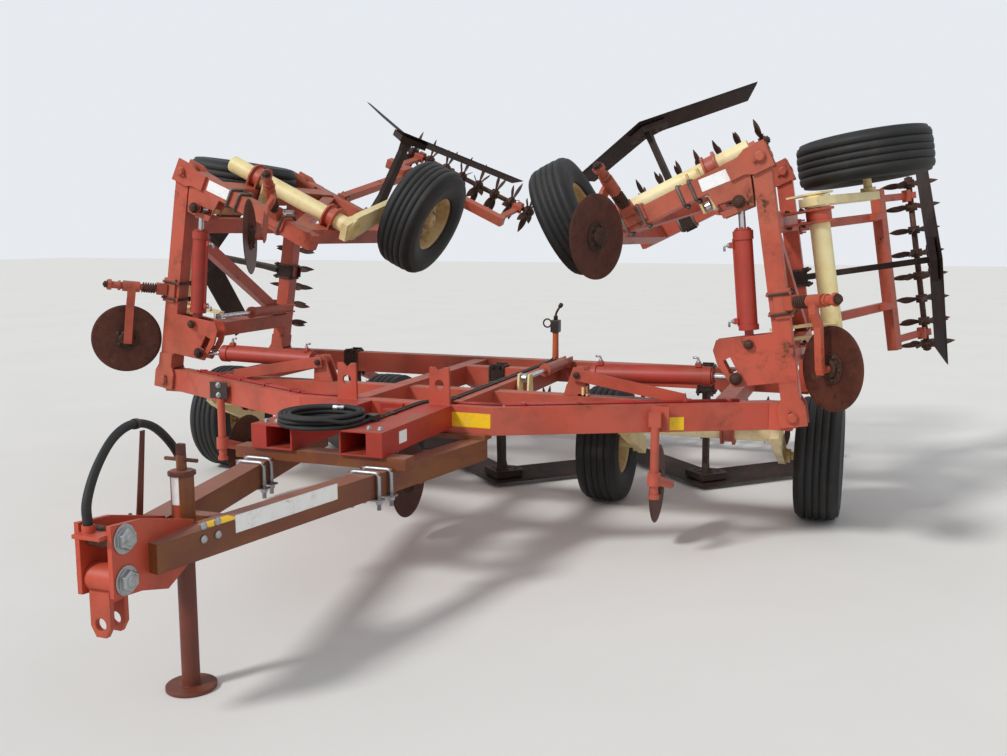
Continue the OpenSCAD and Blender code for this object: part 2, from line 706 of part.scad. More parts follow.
// Hinged cylinder barrel, from its base eye at the origin along +X
module barrel(length) {
    difference() {
        union() {
            round_y(-eye_t / 2, eye_t / 2, 0, 0, cyl_pin_r + 16);
            bar_x(0, 84, 0, 0, eye_t, 44);
            round_x(78, length, 0, 0, barrel_r);
            round_x(length - 50, length, 0, 0, barrel_r + 6);
            round_x(76, 106, 0, 0, barrel_r + 6);
        }
        round_y(-eye_t, eye_t, 0, 0, cyl_pin_r + bore_gap);
        round_x(length - 60, length + 1, 0, 0, rod_r + bore_gap);
        round_x(112, length - 59, 0, 0, rod_r + 14);
    }
    bar_x(100, length - 40, 0, barrel_r + 2, 16, 16);
}

// Rod from inside its barrel out to the eye at the given length
module piston(from, eye) {
    difference() {
        union() {
            round_x(from, eye - 20, 0, 0, rod_r);
            round_x(from, from + 30, 0, 0, rod_r + 12);
            round_y(-eye_t / 2, eye_t / 2, eye, 0, cyl_pin_r + 16);
        }
        round_y(-eye_t, eye_t, eye, 0, cyl_pin_r + 1);
    }
}

module at_in_cylinder() at_centre() translate([in_base[0], 0, in_base[1]]) rotate([0, -in_angle, 0])
    children();
module at_out_cylinder() at_inner() translate([out_base[0], 0, out_base[1]]) rotate([0, -out_angle, 0])
    children();

jack_y = -hitch_reach + 365;
tongue_top = tongue_h + tongue_tube / 2;
pull_rise = 15;
arm_low = pin_h + pull_rise - pull_h / 2;
pull_x = arm_x + 75 - pull_w / 2;
tongue_rear = [500, -chevron - 10];
tongue_front = [72, -hitch_reach + 60];
// A tongue tube's middle, at a place along the machine
function tongue_x(y) = tongue_front[0]
    + (y - tongue_front[1]) * (tongue_rear[0] - tongue_front[0]) / (tongue_rear[1] - tongue_front[1]);

// Tongue: two tubes that meet at the hitch plates, cross members and clamps
module tongue() {
    run = tongue_rear - tongue_front;
    color(red) {
        both_sides() {
            translate([tongue_front[0], tongue_front[1], tongue_h]) rotate([0, 0, atan2(run[1], run[0])])
                translate([0, -tongue_tube / 2, -tongue_tube / 2])
                    cube([norm(run), tongue_tube, tongue_tube]);
            // Hitch side plate
            plate_x(60, 80, [[-hitch_reach - 120, tongue_h - 95], [-hitch_reach - 120, tongue_h + 165],
                             [-hitch_reach + 40, tongue_h + 150], [-hitch_reach + 330, tongue_h + 70],
                             [-hitch_reach + 330, tongue_h - 70], [-hitch_reach + 160, tongue_h - 150],
                             [-hitch_reach + 20, tongue_h - 110]]);
        }
        // Hitch bolts and the upper roller
        for (z = [tongue_h + 105, tongue_h - 45]) {
            round_x(-104, 104, -hitch_reach - 60, z, hitch_bolt_r);
            both_sides() translate([80, -hitch_reach - 60, z]) rotate([0, 90, 0])
                cylinder(r = 38, h = 22, $fn = 6);
        }
        round_x(-60, 60, -hitch_reach - 60, tongue_h + 105, hitch_bolt_r + 8);
        // Cross members: at the jack, under the pull arms, and under the front beam
        both_sides() {
            bar_x(0, tongue_x(jack_y - 76) + 33, jack_y - 76, tongue_h, 76, 76);
            bar_x(0, tongue_x(loop_pts[0][1]) + 20, loop_pts[0][1], tongue_h, 60, 76);
        }
        translate([-pull_plate, -arm_reach + 20, tongue_top - 1])
            cube([2 * pull_plate, 100, arm_low - tongue_top - seat + 1]);
        translate([-tongue_rear[0] - 60, -chevron - 70, tongue_top - 1])
            cube([2 * tongue_rear[0] + 120, 100, pin_h - beam_h / 2 - tongue_top - seat + 1]);
        // Jack sleeve
        difference() {
            translate([0, jack_y, tongue_h - 80]) cylinder(r = 45, h = 330);
            translate([0, jack_y, tongue_h - 90]) cylinder(r = 36, h = 300);
        }
        translate([0, jack_y, tongue_h + 250]) cylinder(r = 20, h = 60);
        // Hose fittings at both ends of the loop
        translate([loop_pts[0][0], loop_pts[0][1], tongue_h + 30]) cylinder(r = hose_r + 5, h = 48);
        translate([-60, loop_pts[8][1] - 40, tongue_h + 118]) cube([120, 80, 14]);
        translate([loop_pts[8][0], loop_pts[8][1], tongue_h + 130]) cylinder(r = hose_r + 5, h = 30);
    }
    // U bolts over the tongue tubes, with a plate under each pair
    color(bright) both_sides() {
        for (y = [-arm_reach - 85, -arm_reach + 5]) {
            c = tongue_x(y);
            for (s = [-1, 1])
                translate([c + s * (tongue_tube / 2 + 16), y, tongue_h - tongue_tube / 2 - 40])
                    cylinder(r = 9, h = tongue_tube + 40);
            round_x(c - tongue_tube / 2 - 25, c + tongue_tube / 2 + 25, y, tongue_top + 5, 9);
        }
    }
}

// Jack leg and foot, down to the ground
module jack() {
    color(steel) {
        translate([0, jack_y, 14]) cylinder(r = 36 - seat, h = tongue_h + 120);
        translate([0, jack_y, 0]) cylinder(r = 100, h = 14);
    }
}

// Clevis that hangs from the lower hitch bolt: a sleeve, a neck and two drilled plates
module hitch_clevis() {
    y = -hitch_reach - 60;
    z = tongue_h - 45;
    color(red) difference() {
        union() {
            round_x(-58, 58, y, z, 52);
            translate([-44, y - 46, z - 78]) cube([88, 92, 40]);
            for (side = [-1, 1])
                plate_y(y + side * 36 - 10, y + side * 36 + 10,
                    [[-44, z - 60], [44, z - 60], [44, z - 165], [22, z - 205], [-22, z - 205],
                     [-44, z - 165]]);
        }
        round_x(-70, 70, y, z, hitch_bolt_r + bore_gap);
        round_y(y - 60, y + 60, 0, z - 158, clevis_bore_r);
    }
}

// Hoses that stand in a loop over the hitch, and the coil behind
hose_r = 17;
loop_shape = [[-90, 505, 78], [-90, 505, 150], [-88, 455, 290], [-78, 325, 415], [-60, 185, 460],
              [-42, 55, 435], [-28, -55, 345], [-22, -115, 240], [-22, -115, 160]];
loop_pts = [for (p = loop_shape) p + [0, -hitch_reach, tongue_h]];

function spline(p, i, t) = let (n = len(p), a = p[max(i - 1, 0)], b = p[i], c = p[min(i + 1, n - 1)],
    d = p[min(i + 2, n - 1)]) 0.5 * ((2 * b) + (c - a) * t + (2 * a - 5 * b + 4 * c - d) * t * t
    + (3 * b - a - 3 * c + d) * t * t * t);
function path(p, per) = [for (i = [0 : len(p) - 2], k = [0 : per - 1]) spline(p, i, k / per), p[len(p) - 1]];

module sweep(pts, r, sides) {
    n = len(pts);
    rings = [for (i = [0 : n - 1]) let (
        d = pts[min(i + 1, n - 1)] - pts[max(i - 1, 0)],
        t = i == 0 ? [0, 0, 1] : i == n - 1 ? [0, 0, -1] : d / norm(d),
        a = cross(t, [1, 0, 0]) / norm(cross(t, [1, 0, 0])),
        b = cross(t, a))
        for (k = [0 : sides - 1]) pts[i] + r * (a * cos(k * 360 / sides) + b * sin(k * 360 / sides))];
    walls = [for (i = [0 : n - 2], k = [0 : sides - 1]) let (m = (k + 1) % sides)
        [i * sides + k, i * sides + m, (i + 1) * sides + m, (i + 1) * sides + k]];
    ends = [[for (k = [0 : sides - 1]) sides - 1 - k], [for (k = [0 : sides - 1]) (n - 1) * sides + k]];
    polyhedron(rings, concat(walls, ends));
}

module hose_loop() color(rubber) sweep(path(loop_pts, 4), hose_r, 8);

module hose_coil() color(rubber)
    translate([-30, -arm_reach + 120, arm_low + pull_h + seat])
        rotate_extrude() translate([150, 0]) square([64, 70]);

// Left side pieces; the right side's are their mirror images
module inner_frame_left() color(red) at_inner() inner_frame();
module inner_frame_right() right_side() inner_frame_left();
module inner_tools_left() color(steel) at_inner() tool(blade_u, frame_depth, tube, blade_drop_inner);
module inner_tools_right() right_side() inner_tools_left();
module outer_frame_left() color(red) at_outer() outer_frame();
module outer_frame_right() right_side() outer_frame_left();
module outer_tools_left() color(steel) at_outer() tool(blade_u, frame_depth, tube, blade_drop_outer);
module outer_tools_right() right_side() outer_tools_left();

// Rockshafts with their wheel arms
centre_arms = [half_w - 120, 1060];
inner_arm = 1160;
outer_arm = 1084;
module rockshaft_centre() color(cream) at_centre()
    rockshaft(-half_w + 92, half_w - 92, shaft_drop, [[-centre_arms[0], -1], [-centre_arms[1], 1],
              [centre_arms[1], -1], [centre_arms[0], 1]], arm_dip_centre, centre_lift);
module inner_shaft(dip) color(cream) at_inner() {
    rockshaft(130, 1200, drop_inner, [[inner_arm, 1]], dip, inner_lift);
    translate([0, shaft_y, -drop_inner]) rotate([-dip, 0, 0])
        plate_x(1200, 1212, [[-62, -70], [62, -70], [62, 40], [36, 180], [-36, 180], [-62, 40]]);
}
module rockshaft_inner_left() inner_shaft(arm_dip_inner);
module rockshaft_inner_right() right_side() inner_shaft(arm_dip_raised);
module rockshaft_outer_left() color(cream) at_outer()
    rockshaft(60, 1124, drop_outer, [[outer_arm, 1]], arm_dip_outer, outer_lift);
module rockshaft_outer_right() right_side() rockshaft_outer_left();

module wheel_centre_left() at_centre() wheel_at(centre_arms[0], 1, shaft_drop, arm_dip_centre);
module wheel_centre_right() right_side() wheel_centre_left();
module wheel_middle_left() at_centre() wheel_at(centre_arms[1], -1, shaft_drop, arm_dip_centre);
module wheel_middle_right() right_side() wheel_middle_left();
module wheel_inner_left() at_inner() wheel_at(inner_arm, 1, drop_inner, arm_dip_inner);
module wheel_inner_right() right_side() at_inner() wheel_at(inner_arm, 1, drop_inner, arm_dip_raised);
module wheel_outer_left() at_outer() wheel_at(outer_arm, 1, drop_outer, arm_dip_outer);
module wheel_outer_right() right_side() wheel_outer_left();

// Coulter discs
module centre_disc(i) color(steel) at_centre()
    translate([i * blade_pitch, front_face(abs(i) * blade_pitch) - 44, 0])
        coulter_disc(hub_centre, [1, 0, 0]);
module disc_centre_left() centre_disc(1);
module disc_centre_middle() centre_disc(0);
module disc_centre_right() centre_disc(-1);
module disc_inner_left() color(steel) at_inner() wing_disc(coulter_inner_u, fold_inner);
module disc_inner_right() right_side() disc_inner_left();
module disc_outer_left() color(steel) at_outer() wing_disc(coulter_outer_u, fold_outer);
module disc_outer_right() right_side() disc_outer_left();

// Treader gangs
module treader_centre() at_centre() gang_at(0, carrier_dip_centre, 24);
module treader_inner_left() at_inner() gang_at(blade_u - 60, carrier_dip_inner, star_count);
module treader_inner_right() right_side() treader_inner_left();
module treader_outer_left() at_outer() gang_at(blade_u + 30, carrier_dip_outer, star_count);
module treader_outer_right() right_side() treader_outer_left();

// Fold cylinders
module fold_barrel_inner_left() color(red) at_in_cylinder() barrel(in_barrel);
module fold_rod_inner_left() color(bright) at_in_cylinder() piston(116, norm(in_vec));
module fold_barrel_inner_right() right_side() fold_barrel_inner_left();
module fold_rod_inner_right() right_side() fold_rod_inner_left();
module fold_barrel_outer_left() color(red) at_out_cylinder() barrel(out_barrel);
module fold_rod_outer_left() color(bright) at_out_cylinder() piston(116, norm(out_vec));
module fold_barrel_outer_right() right_side() fold_barrel_outer_left();
module fold_rod_outer_right() right_side() fold_rod_outer_left();

// Lift rods
module lift_rod_centre() color(bright) at_centre()
    lift_rod(centre_lift, shaft_drop + lever_up, arm_dip_centre, centre_top);
module inner_rod(dip) color(bright) at_inner() lift_rod(inner_lift, drop_inner + lever_up, dip, wing_top);
module lift_rod_inner_left() inner_rod(arm_dip_inner);
module lift_rod_inner_right() right_side() inner_rod(arm_dip_raised);
module lift_rod_outer_left() color(bright) at_outer()
    lift_rod(outer_lift, drop_outer + lever_up, arm_dip_outer, wing_top);
module lift_rod_outer_right() right_side() lift_rod_outer_left();

centre_frame();
centre_tools();
tongue();
jack();
hitch_clevis();
hose_loop();
hose_coil();
fold_base_left();
fold_base_right();
inner_frame_left();
inner_tools_left();
inner_frame_right();
inner_tools_right();
outer_frame_left();
outer_tools_left();
outer_frame_right();
outer_tools_right();
rockshaft_centre();
rockshaft_inner_left();
rockshaft_inner_right();
rockshaft_outer_left();
rockshaft_outer_right();
wheel_centre_left();
wheel_centre_right();
wheel_middle_left();
wheel_middle_right();
wheel_inner_left();
wheel_inner_right();
wheel_outer_left();
wheel_outer_right();
disc_centre_left();
disc_centre_middle();
disc_centre_right();
disc_inner_left();
disc_inner_right();
disc_outer_left();
disc_outer_right();
treader_centre();
treader_inner_left();
treader_inner_right();
treader_outer_left();
treader_outer_right();
fold_barrel_inner_left();
fold_rod_inner_left();
fold_barrel_inner_right();
fold_rod_inner_right();
fold_barrel_outer_left();
fold_rod_outer_left();
fold_barrel_outer_right();
fold_rod_outer_right();
lift_rod_centre();
lift_rod_inner_left();
lift_rod_inner_right();
lift_rod_outer_left();
lift_rod_outer_right();
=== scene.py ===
"""Folding blade plow, parked with its wings folded: finishes, tyres, stars, hoses and small parts.

Lengths are metres in the model's own frame: +X to the machine's left, +Y rearward, +Z up.
"""
import json
import math

import bpy
import numpy as np
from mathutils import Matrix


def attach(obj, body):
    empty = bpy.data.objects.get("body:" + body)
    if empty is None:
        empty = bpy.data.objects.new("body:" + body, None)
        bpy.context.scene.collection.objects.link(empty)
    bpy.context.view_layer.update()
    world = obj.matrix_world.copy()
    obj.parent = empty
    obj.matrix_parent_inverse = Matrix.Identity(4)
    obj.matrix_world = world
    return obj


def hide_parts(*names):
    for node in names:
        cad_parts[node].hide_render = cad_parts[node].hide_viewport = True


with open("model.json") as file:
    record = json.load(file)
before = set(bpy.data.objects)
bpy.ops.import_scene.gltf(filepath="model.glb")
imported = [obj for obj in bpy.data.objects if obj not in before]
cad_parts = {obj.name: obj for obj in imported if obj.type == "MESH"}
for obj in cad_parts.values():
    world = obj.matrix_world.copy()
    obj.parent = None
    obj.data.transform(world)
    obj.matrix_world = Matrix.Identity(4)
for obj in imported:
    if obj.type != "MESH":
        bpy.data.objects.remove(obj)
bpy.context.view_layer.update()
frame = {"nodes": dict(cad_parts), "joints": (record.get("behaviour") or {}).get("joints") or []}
joints = {j["name"]: j for j in frame["joints"]}

# Camera at the photograph's place
CAMERA_AT = (2.497, -5.698, 1.791)
CAMERA_TURN = 20.34
CAMERA_DIP = 8.07
FOCAL_PIXELS = 1003.5
PHOTO_WIDTH = 1007

SIDES = {"left": 1, "right": -1}

# Sections of the machine: where each one's fold pins stand, and how far it is turned up
PIN_H = 0.800
PIN_X = 2.100
WING = 1.430
DEPTH = 1.380
TUBE = 0.102
TURN = {"centre": 0.0, "inner": 99.0, "outer": 206.0}

# Front beam, pull arms and tongue
CHEVRON = 0.690
SWEEP_FROM = (0.600, -0.690)
SWEEP_TO = (1.970, 0.0)
BEAM_TOP = 0.876
HITCH = 2.925
TONGUE_H = 0.640
TONGUE_TUBE = 0.112
TONGUE_REAR = (0.500, -0.700)
TONGUE_FRONT = (0.072, -2.865)
JACK_Y = -2.560

# Rockshafts: how far behind the front beam, and how far below each section's beams
SHAFT_Y = 0.371
SHAFT_DROP = {"centre": 0.172, "inner": 0.240, "outer": 0.116}
RIBS = {"centre": (0.285, 1.700), "inner": (0.320, 1.080), "outer": (0.300, 0.930)}
SHAFT_R = 0.057

# Fold cylinders: the section that carries each one, its base pin, slant in degrees and barrel length
FOLD_CYLINDERS = {
    "inner": ("centre", (0.870, 0.180), 1.489, 0.775),
    "outer": ("inner", (0.431, 0.185), -3.5405, 0.625),
}
BASE_PIN = {section: pin for section, pin, _, _ in FOLD_CYLINDERS.values()}

# Wheels
TYRE_R = 0.391
TYRE_W = 0.279
RIM_R = 0.197
HUB_R = 0.062

# Treaders: stars on each gang, their spacing, the turn from one to the next and the radius over their points
STARS = {"centre": 24, "inner": 8, "outer": 8}
STAR_PITCH = 0.177
STAR_TURN = 17.0
STAR_R = 0.208
STAR_LEAVES = 6

# Hose over the hitch: the points it follows
HOSE_R = 0.017
HOSE_POINTS = [
    (-0.090, -2.420, 0.718), (-0.090, -2.420, 0.790), (-0.088, -2.470, 0.930), (-0.078, -2.600, 1.055),
    (-0.060, -2.740, 1.100), (-0.042, -2.870, 1.075), (-0.028, -2.980, 0.985), (-0.022, -3.040, 0.880),
    (-0.022, -3.040, 0.800),
]

# Hose coiled on the pull arms: three layers of three turns
COIL_AT = (-0.030, -1.450, 0.8765)
COIL_R = 0.182
COIL_HOSE = 0.0205
COIL_STEP = 0.0216
COIL_FITTING = -1.335


def linear(text):
    """Linear red, green and blue of a colour written as six hex digits."""
    parts = [int(text[i:i + 2], 16) / 255 for i in (0, 2, 4)]
    return tuple(c / 12.92 if c <= 0.04045 else ((c + 0.055) / 1.055) ** 2.4 for c in parts)


class Value:
    """A shader value: one socket whose Python operators add Math nodes."""

    def __init__(self, graph, socket):
        self.graph = graph
        self.socket = socket

    def math(self, operation, *others, clamp=False):
        ins = {i: v for i, v in enumerate((self,) + others)}
        return self.graph.node("ShaderNodeMath", {"operation": operation, "use_clamp": clamp}, ins)

    def __add__(self, other):
        return self.math("ADD", other)

    def __sub__(self, other):
        return self.math("SUBTRACT", other)

    def __rsub__(self, other):
        return self.graph.node("ShaderNodeMath", {"operation": "SUBTRACT"}, {0: other, 1: self})

    def __mul__(self, other):
        return self.math("MULTIPLY", other)

    __radd__ = __add__
    __rmul__ = __mul__

    def clamp(self):
        return self.math("ADD", 0.0, clamp=True)

    def step(self, low, high):
        """Zero below low, one above high, smooth between."""
        return self.graph.node("ShaderNodeMapRange", {"interpolation_type": "SMOOTHSTEP"},
                               {"Value": self, "From Min": low, "From Max": high})


class Graph:
    """A new material with one shader, or a sky, and the nodes that feed it."""

    def __init__(self, name, sky=None):
        self.material = sky or bpy.data.materials.new(name)
        self.material.use_nodes = True
        self.tree = self.material.node_tree
        self.shader = next((n for n in self.tree.nodes if n.type == "BSDF_PRINCIPLED"), None)

    def node(self, kind, settings=None, inputs=None, out=0):
        """Adds a node: its settings, then its sockets' values or links, and gives one output."""
        n = self.tree.nodes.new(kind)
        for key, value in (settings or {}).items():
            setattr(n, key, value)
        for key, value in (inputs or {}).items():
            self.feed(n.inputs[key], value)
        return Value(self, n.outputs[out])

    def feed(self, socket, value):
        if isinstance(value, Value):
            self.tree.links.new(value.socket, socket)
        elif isinstance(value, (tuple, list)) and len(value) == 3 and socket.type == "RGBA":
            socket.default_value = (*value, 1.0)
        else:
            socket.default_value = value

    def place(self, scale=(1, 1, 1), shift=(0, 0, 0)):
        """Object coordinates, scaled and shifted."""
        co = self.node("ShaderNodeTexCoord", out="Object")
        return self.node("ShaderNodeMapping", None, {"Vector": co, "Scale": scale, "Location": shift})

    def along(self, axis):
        """One of the object coordinates: X, Y or Z."""
        return self.node("ShaderNodeSeparateXYZ", None, {0: self.place()}, out=axis)

    def noise(self, scale, detail=5.0, rough=0.6, at=None):
        ins = {"Scale": scale, "Detail": detail, "Roughness": rough, "Vector": at or self.place()}
        return self.node("ShaderNodeTexNoise", None, ins)

    def mix(self, mask, a, b):
        """Colour a where mask is 0, colour b where it is 1."""
        n = self.tree.nodes.new("ShaderNodeMix")
        n.data_type = "RGBA"
        self.feed(n.inputs[0], mask)
        self.feed(n.inputs[6], a)
        self.feed(n.inputs[7], b)
        return Value(self, n.outputs[2])

    def upward(self):
        """One on faces that look up, zero on steep ones and undersides."""
        normal = self.node("ShaderNodeNewGeometry", out="Normal")
        z = self.node("ShaderNodeSeparateXYZ", None, {0: normal}, out="Z")
        return z.step(0.35, 0.95)

    def worn_edge(self, radius=0.006):
        """Where a rounded edge's normal leaves the face's own: one at edges."""
        soft = self.node("ShaderNodeBevel", {"samples": 4}, {"Radius": radius})
        face = self.node("ShaderNodeNewGeometry", out="True Normal")
        dot = self.node("ShaderNodeVectorMath", {"operation": "DOT_PRODUCT"}, {0: soft, 1: face}, out="Value")
        return (1.0 - dot).step(0.01, 0.12)

    def bump(self, height, strength, distance):
        soft = self.node("ShaderNodeBevel", {"samples": 4}, {"Radius": 0.005})
        normal = self.node("ShaderNodeBump", None, {"Strength": strength, "Distance": distance,
                                                    "Height": height, "Normal": soft})
        self.set(Normal=normal)

    def set(self, **sockets):
        names = {"Base": "Base Color"}
        for key, value in sockets.items():
            self.feed(self.shader.inputs[names.get(key, key)], value)


def enamel(name, base, faded, rusty="7a3a22", rust_at=0.64, dirt=0.35, chips=0.6, streaks=0.3, zone=None):
    """Old paint: sun-faded patches, rust that spreads from edges and scars, runs, and dust on top faces.

    zone takes the graph and the colour, and gives the colour that its part of the piece has.
    """
    g = Graph(name)
    patch = g.noise(1.3, 4.0, 0.6)
    colour = g.mix(patch.step(0.38, 0.66), linear(base), linear(faded))
    if zone:
        colour = zone(g, colour)
    shade = g.noise(3.1, 6.0, 0.7, at=g.place(shift=(5, 2, 7)))
    colour = g.mix(shade.step(0.42, 0.70) * 0.5, colour, linear(rusty))
    fine = g.noise(52.0, 8.0, 0.72)
    scratch = g.noise(20.0, 6.0, 0.65, at=g.place(scale=(1, 1, 0.16), shift=(1, 4, 2)))
    runs = g.noise(8.0, 6.0, 0.7, at=g.place(scale=(1, 1, 0.18)))
    blotch = g.noise(4.6, 10.0, 0.74)
    edge = g.worn_edge()
    scar = (blotch.step(rust_at, rust_at + 0.035)
            + edge * fine.step(0.47, 0.60) * chips
            + scratch.step(0.70, 0.74) * streaks).clamp()
    halo = (blotch.step(rust_at - 0.09, rust_at + 0.02) * 0.5 + runs.step(0.55, 0.78) * streaks).clamp()
    colour = g.mix(halo, colour, linear(rusty))
    rust_colour = g.mix(fine.step(0.38, 0.62), linear("3a1d14"), linear("7d4426"))
    colour = g.mix(scar, colour, rust_colour)
    dust = (g.upward() * g.noise(11.0, 8.0, 0.7).step(0.34, 0.72) * dirt).clamp()
    colour = g.mix(dust, colour, linear("8d7458"))
    g.set(Base=colour, Roughness=(0.40 + patch * 0.12 + fine * 0.06 + scar * 0.32 + dust * 0.3).clamp())
    g.bump(fine * 0.30 + blotch * 0.15 - scar * 0.55 + dust * 0.3, 0.45, 0.0016)
    return g.material


def bare_steel(name, dark, light, rough=0.6, metal=0.35):
    """Brown oxide over soil-polished steel, with pits and patches of dried earth."""
    g = Graph(name)
    cloud = g.noise(6.0, 8.0, 0.7)
    fine = g.noise(70.0, 6.0, 0.7)
    colour = g.mix(cloud.step(0.35, 0.68), linear(dark), linear(light))
    pit = g.noise(26.0, 8.0, 0.75, at=g.place(shift=(7, 3, 5)))
    colour = g.mix(pit.step(0.50, 0.66) * 0.6, colour, linear("241612"))
    earth = g.noise(15.0, 6.0, 0.7, at=g.place(shift=(3, 1, 2))).step(0.60, 0.74)
    colour = g.mix(earth * 0.35, colour, linear("6d5340"))
    edge = g.worn_edge(0.004)
    colour = g.mix(edge * fine.step(0.4, 0.6) * 0.5, colour, linear("8a6a55"))
    g.set(Base=colour, Roughness=(rough + fine * 0.2 + earth * 0.15).clamp(),
          Metallic=(metal - earth * metal).clamp())
    g.bump(fine * 0.6 + cloud * 0.5 + earth * 0.4 - pit.step(0.5, 0.66) * 0.4, 0.4, 0.0015)
    return g.material


def rubber(name, base, dust_colour, dust):
    """Weathered black rubber: dust in cloudy patches, hair cracks, faint grey bloom."""
    g = Graph(name)
    cloud = g.noise(6.0, 7.0, 0.7)
    fine = g.noise(120.0, 5.0, 0.7)
    bloom = g.noise(2.0, 3.0).step(0.4, 0.7)
    colour = g.mix(bloom * 0.5, linear(base), linear("2b2a29"))
    colour = g.mix((cloud.step(0.50, 0.78) * dust).clamp(), colour, linear(dust_colour))
    g.set(Base=colour, Roughness=(0.52 + cloud * 0.3).clamp())
    g.bump(fine + cloud * 0.5, 0.3, 0.001)
    return g.material


def plated(name, base="a9abad", rough=0.3):
    """Zinc or chrome plate, dulled in patches."""
    g = Graph(name)
    cloud = g.noise(34.0, 6.0, 0.7)
    spangle = g.node("ShaderNodeTexVoronoi", None, {"Vector": g.place(), "Scale": 160.0}, out="Color")
    grain = g.node("ShaderNodeSeparateColor", None, {0: spangle})
    colour = g.mix(cloud.step(0.52, 0.72) * 0.6, linear(base), linear("6f655c"))
    g.set(Base=colour, Roughness=(rough + cloud * 0.2 + grain * 0.08).clamp(),
          Metallic=(1.0 - cloud.step(0.55, 0.75) * 0.5))
    g.bump(cloud, 0.12, 0.001)
    return g.material


def film(name, base, lost=0.66):
    """Sun-cracked film, dull and soiled, with flakes gone down to the paint below."""
    g = Graph(name)
    crack = g.node("ShaderNodeTexVoronoi", {"feature": "DISTANCE_TO_EDGE"},
                   {"Vector": g.place(), "Scale": 46.0})
    line = (1.0 - crack.step(0.0, 0.03)) * g.noise(9.0).step(0.42, 0.6)
    cloud = g.noise(18.0, 6.0)
    gone = g.noise(30.0, 9.0, 0.75, at=g.place(shift=(2, 5, 1))).step(lost, lost + 0.02)
    colour = g.mix((line * 0.5 + cloud.step(0.5, 0.8) * 0.25).clamp(), linear(base), linear("8f7a68"))
    colour = g.mix(gone, colour, linear("5b2416"))
    g.set(Base=colour, Roughness=(0.42 + cloud * 0.25).clamp())
    g.bump(1.0 - (line + gone).clamp(), 0.3, 0.0005)
    return g.material


def tongue_zone(g, colour):
    """Bright paint on the hitch plates and rust-brown walls on the tubes and behind them; there, faces that
    look up are painted a paler rose, painted light falling from above.
    """
    brown = g.mix(g.noise(5.0, 8.0, 0.7, at=g.place(scale=(1, 0.4, 1))).step(0.40, 0.62),
                  linear("6e3a22"), linear("7f4a1e"))
    # Painted light: faces that look up are painted a paler rose, as if lit from above
    brown = g.mix(g.upward(), brown, linear("8f5c4c"))
    x = g.along("X")
    plates = (0.0 - g.along("Y")).step(2.600, 2.606) * (1.0 - (x * x).step(0.0068, 0.0070))
    return g.mix(plates, brown, colour)


def centre_zone(g, colour):
    """Deeper red ahead of the front beam, where the pull arms were painted later."""
    return g.mix((0.0 - g.along("Y")).step(0.742, 0.748), colour, linear("b02c22"))


RED = enamel("faded_red", "be5039", "b35b43", rust_at=0.62, dirt=0.5)
CENTRE_RED = enamel("centre_red", "bf4c37", "b55642", rust_at=0.66, dirt=0.6, zone=centre_zone)
HITCH_RED = enamel("hitch_red", "c2452c", "bf5038", rust_at=0.66, dirt=0.15)
TONGUE_RED = enamel("tongue_brown", "c2452c", "bf5038", rust_at=0.65, dirt=0.3, streaks=0.6, zone=tongue_zone)
JACK_BROWN = enamel("jack_brown", "52231b", "5f2c20", rust_at=0.7, dirt=0.2)
CYLINDER_RED = enamel("cylinder_red", "a83328", "ad4030", rust_at=0.68, dirt=0.3)
LINE_RED = enamel("line_red", "b3202a", "a92c2c", rust_at=0.72, dirt=0.2, streaks=0.1)
CREAM = enamel("cream", "f0dfa2", "efe2b4", rusty="b98a55", rust_at=0.68, dirt=0.15, chips=0.45, streaks=0.5)
POST = enamel("post_orange", "c8662e", "bb5a34", rust_at=0.66, dirt=0.2)
TOOL = bare_steel("tool_steel", "251a16", "3d2a22")
DISC = bare_steel("disc_steel", "4a261c", "5f3526", rough=0.42, metal=0.45)
STAR = bare_steel("star_steel", "35211a", "573628")
BAND = bare_steel("band_steel", "33261f", "4a372c", rough=0.5)
CLAMP = bare_steel("clamp_steel", "5a5551", "827c76", rough=0.42, metal=0.6)
TYRE = rubber("tyre_rubber", "141414", "564d42", 0.32)
RIM = enamel("rim_cream", "d9c48c", "c8a86c", rusty="8f5f38", rust_at=0.60, dirt=0.4, chips=0.7, streaks=0.7)
HOSE = rubber("hose_rubber", "131313", "4a4238", 0.25)
FITTING = enamel("fitting_black", "201c1a", "2b2522", rusty="4a2a1c", dirt=0.4)
PLATE = plated("zinc_plate")
CHROME = plated("rod_chrome", "c9cbce", 0.14)
WHITE_FILM = film("white_film", "f7f7f4")
YELLOW_FILM = film("yellow_film", "f2c200", 0.72)


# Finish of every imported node, by how its name starts; the rest are red
FINISHES = [
    ("rockshaft", CREAM), ("disc", DISC), ("treader", STAR), ("fold_rod", CHROME), ("lift_rod", CHROME),
    ("wheel", TYRE), ("hose", HOSE), ("tongue", TONGUE_RED), ("hitch", HITCH_RED), ("jack", JACK_BROWN),
    ("centre_tools", TOOL), ("inner_tools", TOOL), ("outer_tools", TOOL), ("fold_barrel", CYLINDER_RED),
    ("centre", CENTRE_RED), ("fold_base", CENTRE_RED),
]
for name, node in frame["nodes"].items():
    node.data.materials.clear()
    node.data.materials.append(next((m for start, m in FINISHES if name.startswith(start)), RED))


def section_rows(section):
    """Rows of a section's own directions: outward, rearward and up off its frame."""
    a = math.radians(TURN[section])
    return np.array([(math.cos(a), 0, math.sin(a)), (0, 1, 0), (-math.sin(a), 0, math.cos(a))])


PIN_AT = {"centre": np.array((0, 0, PIN_H)), "inner": np.array((PIN_X, 0, PIN_H))}
PIN_AT["outer"] = PIN_AT["inner"] + WING * section_rows("inner")[0]


def placed(name, data):
    """A new object in the scene."""
    thing = bpy.data.objects.new(name, data)
    bpy.context.scene.collection.objects.link(thing)
    return thing


